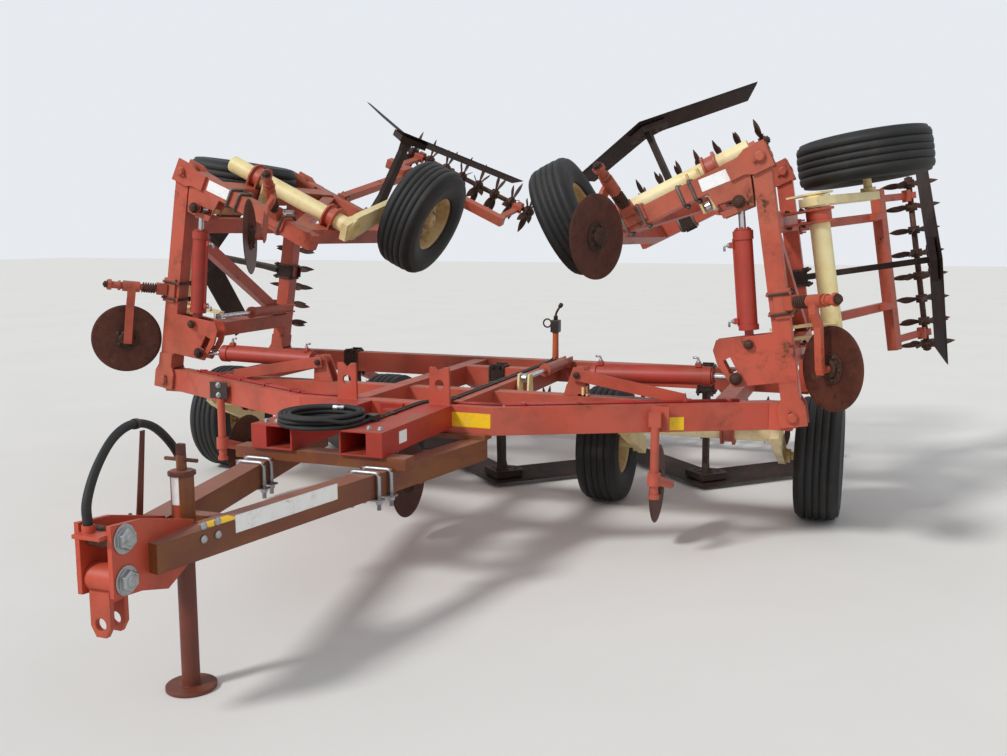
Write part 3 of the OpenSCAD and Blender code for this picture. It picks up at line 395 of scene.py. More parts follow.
def make(name, shape, material, body):
    """A mesh piece from a shape's points, faces and smooth flags, riding on a body."""
    points, faces, smooth = shape
    mesh = bpy.data.meshes.new(name)
    points = np.asarray(points, float).reshape(-1, 3)
    mesh.from_pydata(points.tolist(), [], [list(map(int, f)) for f in faces])
    mesh.materials.append(material)
    mesh.polygons.foreach_set("use_smooth", np.broadcast_to(np.asarray(smooth, bool), (len(mesh.polygons),)))
    mesh.update()
    piece = placed(name, mesh)
    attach(piece, body)
    return piece


def grid_faces(rows, columns, wrap_rows=False):
    """Quads of a grid of points, row by row; each row closes on itself."""
    r = np.arange(rows if wrap_rows else rows - 1)
    r, c = np.meshgrid(r, np.arange(columns), indexing="ij")
    r2, c2 = (r + 1) % rows, (c + 1) % columns
    quads = [r * columns + c, r * columns + c2, r2 * columns + c2, r2 * columns + c]
    return np.stack(quads, -1).reshape(-1, 4)


def capped(rows, columns):
    """Quads of a grid of points, and a face over each of its ends."""
    first, last = tuple(range(columns)), (rows - 1) * columns
    return [tuple(f) for f in grid_faces(rows, columns)] + [first[::-1], tuple(i + last for i in first)]


def basis(axis, across=None):
    """Three unit rows: two across the axis, the first as near as can be to across, then the axis."""
    z = np.asarray(axis, float) / np.linalg.norm(axis)
    x = np.asarray(across if across is not None else (1, 0, 0) if abs(z[0]) < 0.9 else (0, 1, 0), float)
    x = x - z * (x @ z)
    x /= np.linalg.norm(x)
    return np.stack([x, np.cross(z, x), z])


def ring_of(profile, steps, lift=None):
    """Turns a closed anticlockwise (radius, along) profile round Z; lift adds radius by (point, turn)."""
    profile = np.asarray(profile, float)
    turn = np.linspace(0, 2 * np.pi, steps, endpoint=False)
    radius = profile[:, :1] + (0 if lift is None else lift(profile, turn))
    radius = np.broadcast_to(radius, (len(profile), steps))
    along = np.repeat(profile[:, 1:], steps, 1)
    points = np.stack([radius * np.cos(turn), radius * np.sin(turn), along], -1).reshape(-1, 3)
    faces = grid_faces(len(profile), steps, wrap_rows=True)
    return points, faces, [True] * len(faces)


def washer(inner, outer, height, cut=0.001, steps=32):
    """A flat ring on Z with cut edges, from Z = 0 up."""
    p = np.array([(inner, 0), (outer - cut, 0), (outer, cut), (outer, height - cut), (outer - cut, height),
                  (inner, height)])
    rings = np.repeat(p, 2, axis=0)
    points, faces, _ = ring_of(np.roll(rings, -1, 0), steps)
    faces = faces.reshape(len(rings), steps, 4)[::2].reshape(-1, 4)
    return points, faces, [True] * len(faces)


def turned(profile, steps=24, smooth=True):
    """A solid of revolution about Z: every stretch of the (radius, height) profile keeps its own rings."""
    p = np.asarray(profile, float)
    rings = np.repeat(p, 2, axis=0)[1:-1]
    turn = np.linspace(0, 2 * np.pi, steps, endpoint=False)
    points = np.stack([rings[:, :1] * np.cos(turn), rings[:, :1] * np.sin(turn),
                       np.repeat(rings[:, 1:], steps, 1)], -1).reshape(-1, 3)
    quads = (grid_faces(2, steps)[None] + np.arange(len(p) - 1)[:, None, None] * 2 * steps).reshape(-1, 4)
    last = (len(rings) - 1) * steps
    faces = [tuple(f) for f in quads] + [tuple(range(steps))[::-1], tuple(range(last, last + steps))]
    return points, faces, [smooth] * len(quads) + [False] * 2


def plate(outline, thick, cut=0.0015):
    """A plate from an anticlockwise outline in XY, from Z = 0 up; its cut edges move in on their mitres."""
    p = np.asarray(outline, float)
    along = np.roll(p, -1, 0) - p
    along /= np.linalg.norm(along, axis=1)[:, None]
    out = np.stack([along[:, 1], -along[:, 0]], 1)
    before = np.roll(out, 1, 0)
    inset = p - cut * (out + before) / (1 + (out * before).sum(1))[:, None]
    loops = [(inset, 0.0), (p, cut), (p, thick - cut), (inset, thick)]
    points = np.concatenate([np.c_[q, np.full(len(q), z)] for q, z in loops])
    faces = capped(4, len(p))
    return points, faces, [False] * len(faces)


def block(x, y, z, cut=0.003):
    """A box centred on the origin, with cut edges."""
    corners = np.array([(-1, -1), (1, -1), (1, 1), (-1, 1)]) * (x / 2, y / 2)
    points, faces, smooth = plate(corners, z, cut)
    return points - (0, 0, z / 2), faces, smooth


def hexagon(radius, height):
    """A nut or a bolt head on Z, with its corners cut."""
    return turned([(radius, 0), (radius, height * 0.8), (radius * 0.86, height)], 6, False)


def bolt(radius, height=None):
    """Washer, nut and the stub of a thread, on Z."""
    height = height or radius * 0.8
    stub = turned([(radius * 0.5, 0), (radius * 0.5, height * 1.45), (radius * 0.42, height * 1.6)], 12)
    disc = turned([(radius * 1.35, 0), (radius * 1.35, radius * 0.14), (radius * 1.28, radius * 0.2)], 20)
    return joined(disc, moved(hexagon(radius, height), (0, 0, radius * 0.2)), stub)


def rounded(corners, radius, steps=6):
    """A route through corners, each one replaced by a parabola that starts and ends a radius away."""
    c = np.asarray(corners, float)
    t = np.linspace(0, 1, steps)[:, None]
    out = [c[:1]]
    for a, b, d in zip(c, c[1:], c[2:]):
        start = b + (a - b) / np.linalg.norm(a - b) * min(radius, np.linalg.norm(a - b) * 0.49)
        end = b + (d - b) / np.linalg.norm(d - b) * min(radius, np.linalg.norm(d - b) * 0.49)
        out.append((1 - t) ** 2 * start + 2 * t * (1 - t) * b + t ** 2 * end)
    return np.concatenate(out + [c[-1:]])


def pipe(route, radius, sides=10, ends=None, swell=None):
    """A round rod or hose along a route; its rings keep to the direction that the route uses least.

    ends are the directions of the first and last ring's axis; swell scales each ring's radius by turn.
    """
    route = np.asarray(route, float)
    ahead = np.gradient(route, axis=0)
    if ends is not None:
        ahead[0], ahead[-1] = ends
    ahead /= np.linalg.norm(ahead, axis=1)[:, None]
    least = np.linalg.svd(ahead, full_matrices=True)[2][-1]
    across = np.cross(ahead, least)
    across /= np.linalg.norm(across, axis=1)[:, None]
    third = np.cross(ahead, across)
    turn = np.linspace(0, 2 * np.pi, sides, endpoint=False)
    size = radius * (np.ones((len(route), sides)) if swell is None else swell(len(route), turn))
    rings = route[:, None] + (across[:, None] * (size * np.cos(turn))[..., None]
                              + third[:, None] * (size * np.sin(turn))[..., None])
    faces = capped(len(route), sides)
    return rings.reshape(-1, 3), faces, [True] * (len(faces) - 2) + [False] * 2


def helix(radius, height, turns, wire):
    """A coil spring on Z: the wire's middle runs at (r cos a, r sin a, h a / all turns)."""
    a = np.linspace(0, turns * 2 * np.pi, int(turns * 16) + 1)
    return pipe(np.stack([radius * np.cos(a), radius * np.sin(a), height * a / a[-1]], 1), wire, 8)


def moved(shape, place, axis=(0, 0, 1), across=None):
    """A shape with its Z laid along an axis, and its X as near as can be to across."""
    return shape[0] @ basis(axis, across) + np.asarray(place, float), shape[1], shape[2]


def joined(*shapes):
    """Several shapes as one."""
    starts = np.cumsum([0] + [len(s[0]) for s in shapes])
    return (np.concatenate([s[0] for s in shapes]),
            [tuple(int(i) + start for i in f) for s, start in zip(shapes, starts) for f in s[1]],
            [flag for s in shapes for flag in s[2]])


class Kit:
    """Small parts of one finish that ride on one body, made as one mesh."""

    def __init__(self, name, material, slot, body="main", section="centre", side=1):
        self.name, self.material, self.slot, self.body = name, material, slot, body
        self.section, self.side = section, side
        self.shapes = []

    def add(self, shape, place=(0, 0, 0), axis=(0, 0, 1), across=None, side=None):
        """Takes a shape, laid at a place in the section's own directions; side -1 is its mirror image."""
        points, faces, smooth = moved(shape, place, axis, across)
        points = points @ section_rows(self.section) + PIN_AT[self.section]
        if (side or self.side) < 0:
            points = points * (-1, 1, 1)
            faces = [tuple(f)[::-1] for f in faces]
        self.shapes.append((points, faces, smooth))
        return self

    def both(self, *shape_and_place):
        """Takes a shape and its mirror image across the machine."""
        self.add(*shape_and_place)
        self.add(*shape_and_place, side=-1)

    def build(self):
        return make(self.name, joined(*self.shapes), self.material, self.body)


camera = placed("camera", bpy.data.cameras.new("camera"))
camera.location = CAMERA_AT
camera.rotation_euler = (math.radians(90 - CAMERA_DIP), 0, math.radians(CAMERA_TURN))
camera.data.sensor_width = 36
camera.data.lens = 36 * FOCAL_PIXELS / PHOTO_WIDTH
bpy.context.scene.camera = camera


def spline(points, per):
    """Smooth route through the points: cubics whose slope at a point is half the chord of its neighbours."""
    p = np.asarray(points, float)
    padded = np.concatenate([p[:1], p, p[-1:]])
    t = np.linspace(0, 1, per, endpoint=False)[:, None]
    out = []
    for a, b, c, d in zip(padded, padded[1:], padded[2:], padded[3:]):
        out.append(0.5 * (2 * b + (c - a) * t + (2 * a - 5 * b + 4 * c - d) * t ** 2
                          + (3 * b - a - 3 * c + d) * t ** 3))
    return np.concatenate(out + [p[-1:]])


def wrapped(count, turn):
    """Four lines under one wrap: R = 1 - 0.1 (1 - |cos 2(a + s)|) as they twist along the route."""
    twist = np.linspace(0, 2.2, count)[:, None]
    return 1.0 - 0.10 * (1 - np.abs(np.cos(2 * (turn[None] + twist))))


route = spline(HOSE_POINTS, 8)
hose = make("hose_over_hitch", pipe(route, HOSE_R, 32, ends=((0, 0, 1), (0, 0, -1)), swell=wrapped),
            HOSE, "main")
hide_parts("hose_loop")


def ease(t):
    """Nought before t = 0, one after t = 1, 3 t^2 - 2 t^3 between."""
    return np.clip(t, 0, 1) ** 2 * (3 - 2 * np.clip(t, 0, 1))


def coil_route():
    """Three flat layers of three turns, wound in, out and in again, clockwise from above.

    Each layer crosses to its next turn in one window of angle, and climbs to the next layer in an
    earlier one, so that no turn ever lies in another.
    """
    window = math.radians(36)
    a = np.arange(0, 9 * 2 * np.pi, math.radians(7.5))
    radius = np.full(a.shape, COIL_R + COIL_STEP)
    height = np.full(a.shape, COIL_HOSE / 2)
    start = math.radians(200)
    for layer in range(3):
        inward = -1 if layer % 2 == 0 else 1
        for _ in range(2):
            radius = radius + inward * COIL_STEP * ease((a - start) / window)
            start += 2 * np.pi
        start -= 1.6 * window
        if layer < 2:
            height = height + COIL_STEP * ease((a - start) / window)
            start += 2 * np.pi - 1.6 * window
    end = start - 0.2 * window
    keep = a <= end
    turn, radius, height = -a[keep], radius[keep], height[keep]
    ring = np.stack([radius * np.cos(turn), radius * np.sin(turn), height], 1) + COIL_AT
    lead = np.linspace((ring[0][0], COIL_FITTING, ring[0][2]), ring[0], 9, endpoint=False)
    return np.concatenate([lead, ring])


route = coil_route()
coil = make("hose_coiled", pipe(route, COIL_HOSE / 2, 12), HOSE, "main")
tip = route[-1] - route[-2]
coupler = make("hose_coupler", moved(joined(
    turned([(0.0130, 0), (0.0130, 0.022), (0.0105, 0.026)], 6, False),
    turned([(0.0100, 0.024), (0.0100, 0.034), (0.0125, 0.036), (0.0125, 0.056), (0.0105, 0.060),
            (0.0070, 0.060)], 20)), route[-1] - tip * 0.3, tip), PLATE, "main")
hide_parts("hose_coil")


# Tyres and rims

def tyre_profile():
    """Closed loop of (radius, along): bead, bulged wall, shoulder, five ribs, and back.

    From bead (t = 0) to shoulder (t = 1) the wall bulges as 0.68 + 0.32 sin(pi (0.12 + 0.62 t))^0.8, with
    three fine rings. The crown drops by 0.016 x^2.2 at x half widths from the middle, grooved between ribs.
    """
    h = TYRE_W / 2
    t = np.linspace(0, 1, 15)
    wall_r = RIM_R + 0.004 + (TYRE_R - 0.030 - RIM_R) * t
    wall_x = h * (0.68 + 0.32 * np.sin(np.pi * (0.12 + 0.62 * t)) ** 0.8)
    rings = 0.0022 * np.exp(-((t[:, None] - np.array([0.16, 0.3, 0.78])) / 0.03) ** 2).sum(1)
    wall_x = wall_x / wall_x.max() * h - rings
    edges = np.array([-0.80, -0.50, -0.44, -0.17, -0.11, 0.11, 0.17, 0.44, 0.50, 0.80]).reshape(-1, 2)
    crown = TYRE_R - 0.016 * np.abs(edges) ** 2.2
    low, high = edges.T * h
    near, far = crown.T
    radius = [near - 0.010, near - 0.001, crown.max(1) + 0.0004, far - 0.001, far - 0.010]
    along = [low - 0.0006, low + 0.0006, (low + high) / 2, high - 0.0006, high + 0.0006]
    ribs = np.stack([np.transpose(radius), np.transpose(along)], -1).reshape(-1, 2)
    wall = np.stack([wall_r, wall_x], 1)
    inner = [(RIM_R - 0.004, 0.6 * h), (RIM_R - 0.004, -0.6 * h)]
    return np.concatenate([wall * (1, -1), ribs, wall[::-1], inner])


def rib_notches(profile, turn):
    """Narrow cuts in the grooves' edges: 60 round the tread, where sin 60 a is over 0.86."""
    tread = (profile[:, 0] > TYRE_R - 0.014) & (np.abs(profile[:, 1]) < 0.82 * TYRE_W / 2)
    side = np.sign(profile[:, 1])[:, None]
    wave = np.clip(np.sin(turn[None, :] * 60 + side * 0.8) - 0.86, 0, 1) * 7
    edge = (np.abs(profile[:, 0] - TYRE_R + 0.004) < 0.006)[:, None]
    return -0.004 * wave * (tread[:, None] & edge)


def rim_profile():
    """Closed loop of (radius, along), outboard side positive: flanges, well, dished disc and hub."""
    flange = [(0.012, 0.74), (0.014, 0.70), (0.004, 0.66), (-0.006, 0.60), (-0.010, 0.40), (-0.024, 0.30)]
    well = [(-0.004, 0.73), (-0.016, 0.62), (-0.020, 0.42), (-0.032, 0.30), (-0.034, 0.14), (-0.050, 0.10)]
    back = [(-0.050, -0.02), (-0.038, -0.10), (-0.034, -0.28), (-0.018, -0.42), (-0.014, -0.60), (0, -0.73)]
    loop = np.concatenate([
        np.array(flange) * (1, -1) + (RIM_R, 0), np.array(flange[::-1] + well) + (RIM_R, 0),
        [(0.118, 0.26), (0.104, 0.28), (0.086, 0.22), (HUB_R + 0.004, 0.22), (HUB_R, 0.26),
         (HUB_R - 0.004, 0.52), (HUB_R - 0.018, 0.60), (0.002, 0.62), (0.002, -0.40),
         (HUB_R - 0.010, -0.42), (HUB_R - 0.004, 0.06), (0.104, 0.14)], np.array(back) + (RIM_R, 0)])
    return loop * (1, TYRE_W / 2)


def around(shape, count, radius):
    """A shape repeated in a circle round Z."""
    a = np.arange(count) * 2 * np.pi / count
    return joined(*[moved(shape, (radius * np.cos(t), radius * np.sin(t), 0)) for t in a])


def wheel(name, sign):
    """Tyre and rim on a packed wheel's own axis."""
    joint = joints[name + "_spin"]
    axis = np.array(joint["axis"]) * sign
    place = np.array(joint["pos_m"])
    tyre = make(name + "_tyre", moved(ring_of(tyre_profile(), 240, rib_notches), place, axis), TYRE, name)
    make(name + "_rim", moved(ring_of(rim_profile(), 72), place, axis), RIM, name)
    nuts = moved(around(bolt(0.013), 6, 0.095), (0, 0, TYRE_W * 0.126))
    stem = [(0.006, 0), (0.004, 0.03), (0.0045, 0.032), (0.0045, 0.045)]
    valve = moved(turned(stem, 10), (0.150, 0.02, 0.012))
    make(name + "_nuts", moved(joined(nuts, valve), place, axis), PLATE, name)
    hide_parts(name)


for side, sign in SIDES.items():
    for row in ("centre", "middle", "inner", "outer"):
        wheel("wheel_%s_%s" % (row, side), sign * (-1 if row == "middle" else 1))


# Treader wheels

def leaf():
    """One leaf of a treader wheel along +X: it widens to half its length, narrows to a point and twists.

    Half width w(t) = 0.012 + 0.018 sin(pi t^0.85) - 0.0105 t^3 and turn a(t) = 0.70 + 0.45 t out of the
    wheel's plane at t from hub to tip, over a lens of six points.
    """
    t = np.linspace(0, 1, 10)[:, None]
    half = 0.012 + 0.018 * np.sin(np.pi * t ** 0.85) - 0.0105 * t ** 3
    thick = 0.0052 - 0.0034 * t
    a = 0.70 + 0.45 * t
    lens = np.array([(1, 0), (0.45, 0.9), (-0.45, 0.9), (-1, 0), (-0.45, -0.9), (0.45, -0.9)])
    y, z = half * lens[:, 0], thick * lens[:, 1]
    x = np.broadcast_to(0.034 + (STAR_R - 0.035) * t, y.shape)
    sweep = 0.020 * (t ** 2)
    points = np.stack([x, y * np.cos(a) - z * np.sin(a) + sweep, y * np.sin(a) + z * np.cos(a)], -1)
    faces = capped(len(t), len(lens))
    return points.reshape(-1, 3), faces, [False] * len(faces)


def spun(shape, a, z=0.0):
    """A shape turned about Z and lifted."""
    return moved(shape, (0, 0, z), across=(math.cos(a), math.sin(a), 0))


def star():
    """Six leaves round a spool with raised ends."""
    leaves = [spun(leaf(), a) for a in np.arange(STAR_LEAVES) * 2 * np.pi / STAR_LEAVES]
    hub = turned([(0.040, -0.030), (0.042, -0.024), (0.042, -0.012), (0.052, -0.009), (0.054, 0.0),
                  (0.052, 0.009), (0.042, 0.012), (0.042, 0.024), (0.040, 0.030)], 20)
    return joined(*leaves, hub)


STAR_SHAPE = star()


def gang(name, count):
    """A treader gang on its own axis: stars, each turned on from the last, their shaft and end nuts."""
    joint = joints[name + "_spin"]
    half = (count - 1) * STAR_PITCH / 2
    shapes = [spun(STAR_SHAPE, math.radians(i * STAR_TURN), -half + i * STAR_PITCH) for i in range(count)]
    shapes.append(turned([(0.0218, -half - 0.044), (0.0218, half + 0.044)], 16))
    shapes.append(moved(bolt(0.030, 0.020), (0, 0, half + 0.026)))
    shapes.append(moved(bolt(0.030, 0.020), (0, 0, -half - 0.026), (0, 0, -1)))
    stars = moved(joined(*shapes), joint["pos_m"], joint["axis"])
    piece = make(name + "_stars", stars, STAR, name)
    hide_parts(name)


gang("treader_centre", STARS["centre"])
for side in SIDES:
    for section in ("inner", "outer"):
        gang("treader_%s_%s" % (section, side), STARS[section])


# Coulter hubs

def coulter_hub(name):
    """Flanges on both faces of a disc, their bolts, and a cap over the bearing."""
    joint = joints[name + "_spin"]
    one = joined(washer(0.030, 0.082, 0.006), moved(around(bolt(0.010), 5, 0.064), (0, 0, 0.006)),
                 turned([(0.053, 0.004), (0.047, 0.024), (0.036, 0.0285)], 28))
    both = joined(moved(one, (0, 0, 0.0034)), moved(one, (0, 0, -0.0034), (0, 0, -1)))
    make(name + "_hub", moved(both, joint["pos_m"], joint["axis"]), STAR, name)


for name in [n for n in frame["nodes"] if n.startswith("disc_")]:
    coulter_hub(name)


# Wings

COULTER_U = {"inner": 0.629, "outer": 0.767}
BLADE_U = 0.715
BLADE_DROP = {"inner": 0.905, "outer": 0.745}
STEM_RAKE = math.radians(45)
CHEEK_FACE = 0.077
SLOT_PIN = {"inner": (0.250, 0.275), "outer": (0.195, 0.170)}
HANGER_BOLTS = {"centre": [(0.066, -0.098)], "inner": [(0.066, -0.072), (0.060, -0.150)],
                "outer": [(0.066, -0.072)]}
U_BOLT_TAIL = 0.030
BLADE_CLAMP = (-0.049, 0.049)
FILM = 0.0012
FILM_GAP = 0.0002


def u_bolt(u, y0, y1, w0, w1, radius=0.009, down=False):
    """A bolt bent round a beam, its legs rearward or down, with a nut on each leg."""
    if down:
        route = [(u, y0, w0 - U_BOLT_TAIL), (u, y0, w1), (u, y1, w1), (u, y1, w0 - U_BOLT_TAIL)]
        nuts = [((u, y, w0), (0, 0, -1)) for y in (y0, y1)]
    else:
        route = [(u, y1 + U_BOLT_TAIL, w1), (u, y0, w1), (u, y0, w0), (u, y1 + U_BOLT_TAIL, w0)]
        nuts = [((u, y1, w), (0, 1, 0)) for w in (w0, w1)]
    heads = [moved(hexagon(radius * 1.9, radius * 1.7), place, axis) for place, axis in nuts]
    return joined(pipe(rounded(route, 0.016), radius), *heads)


def hangers(add_bolt, add_ring, section):
    """Nuts and rings on both faces of a section's rockshaft hangers."""
    for u in RIBS[section]:
        for s in (-1, 1):
            for y, w in HANGER_BOLTS[section]:
                add_bolt(bolt(0.012), (u + s * 0.040, SHAFT_Y - y, w), (s, 0, 0))
                add_bolt(bolt(0.012), (u + s * 0.040, SHAFT_Y + y, w), (s, 0, 0))
            add_ring(washer(SHAFT_R + 0.002, 0.088, 0.014),
                     (u + s * 0.028, SHAFT_Y, -SHAFT_DROP[section]), (s, 0, 0))


def tool_bolts(kit, u, y_beam, drop):
    """Plow bolts' domed heads on the nose plate where a blade's wings meet."""
    dome = turned([(0.014, 0), (0.013, 0.003), (0.009, 0.006), (0.003, 0.0075)], 14)
    for x, y in ((0.045, 0.150), (0.085, 0.205), (0.030, 0.235), (0.070, 0.265)):
        for s in (-1, 1):
            kit.add(dome, (u + s * x, y_beam - 0.100 + y, -drop + 0.0758))


def fastenings(section, side):
    """Ends of the fold pins, nuts, hanger rings, U bolts, spring and blade bolts of one wing section."""
    body = "%s_%s" % (section, side)

    def wing_kit(name, material, slot="worn_steel"):
        return Kit("%s_%s" % (body, name), material, slot, body, section, SIDES[side])

    pins = wing_kit("pins", RED, "red_paint")
    pin_end = [(0.030, 0), (0.030, 0.003), (0.024, 0.005), (0.024, 0.012), (0.021, 0.015)]
    for y in (0, DEPTH):
        for s in (-1, 1):
            pins.add(joined(turned(pin_end), moved(bolt(0.007), (0.036, 0.012, 0))),
                     (0, y + s * CHEEK_FACE, 0), (0, s, 0))
    pins.build()
    kit, red = wing_kit("bolts", STAR), wing_kit("rings", RED, "red_paint")
    hangers(kit.add, red.add, section)
    for s in (-1, 1):
        u, w = SLOT_PIN[section]
        kit.add(bolt(0.027, 0.020), (u, s * 0.0805, w), (0, s, 0))
        if section in BASE_PIN:
            u, w = BASE_PIN[section]
            kit.add(bolt(0.021, 0.016), (u, s * 0.0675, w), (0, s, 0))
    kit.build()
    red.build()

    clamp = wing_kit("clamps", CLAMP if section == "outer" else BAND)
    for u in (-0.055, 0.055):
        clamp.add(u_bolt(COULTER_U[section] + u, -0.067, 0.059, -0.067, 0.055, 0.0095))
    if section == "outer":
        for u in (0.400, 0.470):
            clamp.add(u_bolt(u, -0.060, 0.052, -0.060, 0.060))
    for u in BLADE_CLAMP:
        clamp.add(u_bolt(BLADE_U + u, DEPTH - 0.060, DEPTH + 0.060, -0.0673, 0.060, down=True))
    clamp.build()

    # Spring and collar on the coulter's stem: the stem runs forward and down from the beam's lower corner
    spring = wing_kit("spring", STAR)
    lean = np.array((0, -math.sin(STEM_RAKE), -math.cos(STEM_RAKE)))
    foot = np.array((COULTER_U[section], -0.060, -0.054))
    spring.add(helix(0.031, 0.085, 5.5, 0.0052), foot + lean * 0.066, lean)
    spring.add(bolt(0.022, 0.018), foot + lean * 0.3705, lean)
    spring.build()

    blade = wing_kit("blade_bolts", STAR)
    tool_bolts(blade, BLADE_U, DEPTH, BLADE_DROP[section])
    blade.build()


for side in SIDES:
    for section in ("inner", "outer"):
        fastenings(section, side)


# Labels: blank, weathered film

def label(name, material, place, out, along, size, body="main", section="centre", side=1):
    """A thin blank film on a face, with rounded corners."""
    x, y = size[0] / 2, size[1] / 2
    corners = [(-x, -y), (x, -y), (x, y), (-x, y)]
    outline = rounded(corners + corners[:1], 0.004, 3)[:-1]
    place = np.asarray(place) + np.asarray(out, float) * FILM_GAP
    Kit(name, material, "dark_paint", body, section, side).add(
        plate(outline, FILM, FILM / 4), place, out, along).build()


def heading(start, end):
    """Unit vectors in plan: from one place to another, and square to that on its right."""
    run = np.array((*np.subtract(end, start), 0.0))
    run /= np.linalg.norm(run)
    return run, np.array((run[1], -run[0], 0))


SWEEP, SWEEP_OUT = heading(SWEEP_FROM, SWEEP_TO)
TUBE_RUN, TUBE_OUT = heading(TONGUE_FRONT, TONGUE_REAR)


def on_sweep(along, back, z):
    """A place on the left swept beam: along it from its inner end, back from its middle, height over it."""
    return np.array((*SWEEP_FROM, BEAM_TOP - PIN_H + z)) + SWEEP * along - SWEEP_OUT * back


def on_tube(along, out, z):
    """A place on the left tongue tube: along it from its front, out from its middle, height over ground."""
    return np.array((*TONGUE_FRONT, 0)) + TUBE_RUN * along + TUBE_OUT * out + (0, 0, z - PIN_H)


label("film_wing_left", WHITE_FILM, (0.262, -TUBE / 2, 0.004), (0, -1, 0), (1, 0, -0.08), (0.180, 0.070),
      "outer_left", "outer")
label("film_wing_right", WHITE_FILM, (0.300, -TUBE / 2, -0.008), (0, -1, 0), (1, 0, -0.05), (0.170, 0.072),
      "outer_right", "outer", -1)
label("film_beam_middle", YELLOW_FILM, (0.450, -CHEVRON - TUBE / 2, 0.001), (0, -1, 0), (1, 0, 0),
      (0.270, 0.080))
label("film_beam_side", YELLOW_FILM,
      np.array((SWEEP_FROM[0], -0.741, -0.031)) + SWEEP * 0.979 + SWEEP_OUT * 0.0002, SWEEP_OUT, SWEEP,
      (0.150, 0.074))
label("film_pull_arm", WHITE_FILM, (0.360, -1.350, 0.020), (1, 0, 0), (0, 1, 0), (0.085, 0.062))
label("film_tongue", WHITE_FILM, on_tube(0.676, TONGUE_TUBE / 2, 0.678), TUBE_OUT, TUBE_RUN, (0.600, 0.072))
label("film_tongue_top", YELLOW_FILM, on_tube(0.330, 0.018, TONGUE_H + TONGUE_TUBE / 2), (0, 0, 1), TUBE_RUN,
      (0.150, 0.070))


# Tongue and hitch

HITCH_BOLT_Y = -HITCH - 0.060
SPOOL_Z = TONGUE_H + 0.105 - PIN_H
CLEVIS_Z = TONGUE_H - 0.045 - PIN_H
CLAMP_LOW, CLAMP_HIGH, CLAMP_HALF = 0.530, 0.703, 0.072

zinc = Kit("tongue_zinc", PLATE, "worn_steel")
for z in (SPOOL_Z, CLEVIS_Z):
    zinc.both(turned([(0.054, 0), (0.054, 0.005), (0.052, 0.006)], 28), (0.0802, HITCH_BOLT_Y, z), (1, 0, 0))
    zinc.both(hexagon(0.0405, 0.030), (0.080, HITCH_BOLT_Y, z), (1, 0, 0), (0, 0, 1))
    zinc.both(turned([(0.0235, 0), (0.0235, 0.010), (0.020, 0.013)], 20), (0.104, HITCH_BOLT_Y, z), (1, 0, 0))
head = turned([(0.017, 0), (0.016, 0.005), (0.011, 0.0095), (0.004, 0.011)], 16)
for along in (0.216, 0.286):
    for z in (0.660, 0.712):
        zinc.both(head, on_tube(along, TONGUE_TUBE / 2, z), TUBE_OUT)
for y in (-1.655, -1.565):
    along = (y - TONGUE_FRONT[1]) / TUBE_RUN[1]
    c = on_tube(along, 0, TONGUE_H)[0]
    near, far = c - CLAMP_HALF, c + CLAMP_HALF
    route = [(near, y, CLAMP_LOW), (near, y, CLAMP_HIGH), (far, y, CLAMP_HIGH), (far, y, CLAMP_LOW)]
    zinc.both(moved(pipe(rounded(route, 0.020), 0.0105, 12), (0, 0, -PIN_H)))
    zinc.both(block(0.190, 0.050, 0.010), (c, y, 0.578 - PIN_H))
    for x in (near, far):
        zinc.both(hexagon(0.018, 0.015), (x, y, 0.573 - PIN_H), (0, 0, -1))
for x in (-0.030, 0.030):
    zinc.both(bolt(0.013), (x + 0.285, -1.500, BEAM_TOP - PIN_H))
zinc.build()

ridges = [(0.0365 + 0.0022 * (-1) ** i, x) for i, x in enumerate(np.linspace(-0.057, 0.057, 20))]
Kit("hitch_spool", STAR, "worn_steel").add(
    ring_of([(0.0245, -0.058), *ridges, (0.0245, 0.058)], 28), (0, HITCH_BOLT_Y, SPOOL_Z), (1, 0, 0)).build()

jack = Kit("jack_parts", JACK_BROWN, "red_paint")
jack.add(washer(0.0452, 0.054, 0.014), (0, JACK_Y, TONGUE_H + 0.232 - PIN_H))
jack.add(pipe([(-0.075, 0, 0), (0.075, 0, 0)], 0.008, 12), (0, JACK_Y, TONGUE_H + 0.292 - PIN_H))
jack.add(block(0.030, 0.024, 0.050), (0, JACK_Y, TONGUE_H + 0.330 - PIN_H))
jack.add(plate([(-0.018, 0), (0.018, 0), (0.012, 0.374), (-0.012, 0.374)], 0.007),
         (-0.100, -2.700, 0.696 - PIN_H), (1.0, 0.0, -0.10), (0, 1, 0))
jack.build()


def strip_round(radius, low, high, start, stop):
    """A film bent round an upright tube between two angles: an arc, and the same arc a film's depth out."""
    a = np.linspace(start, stop, 12)
    loop = np.concatenate([np.stack([(radius + t) * np.cos(b), (radius + t) * np.sin(b)], 1)
                           for t, b in ((FILM_GAP, a[::-1]), (FILM, a))])
    points = np.concatenate([np.c_[loop, np.full(24, low)], np.c_[loop, np.full(24, high)]])
    faces = capped(2, 24)
    return points, faces, [False] * len(faces)


Kit("film_jack", WHITE_FILM, "dark_paint").add(
    strip_round(0.045, 0.760 - PIN_H, 0.880 - PIN_H, math.radians(-112), math.radians(-68)),
    (0, JACK_Y, 0)).build()

# Hydraulics: block and lines from the coil to the valve post

VALVE_X, VALVE_Y, VALVE_Z = 0.285, 1.380, 0.330
LINE_X = 0.262

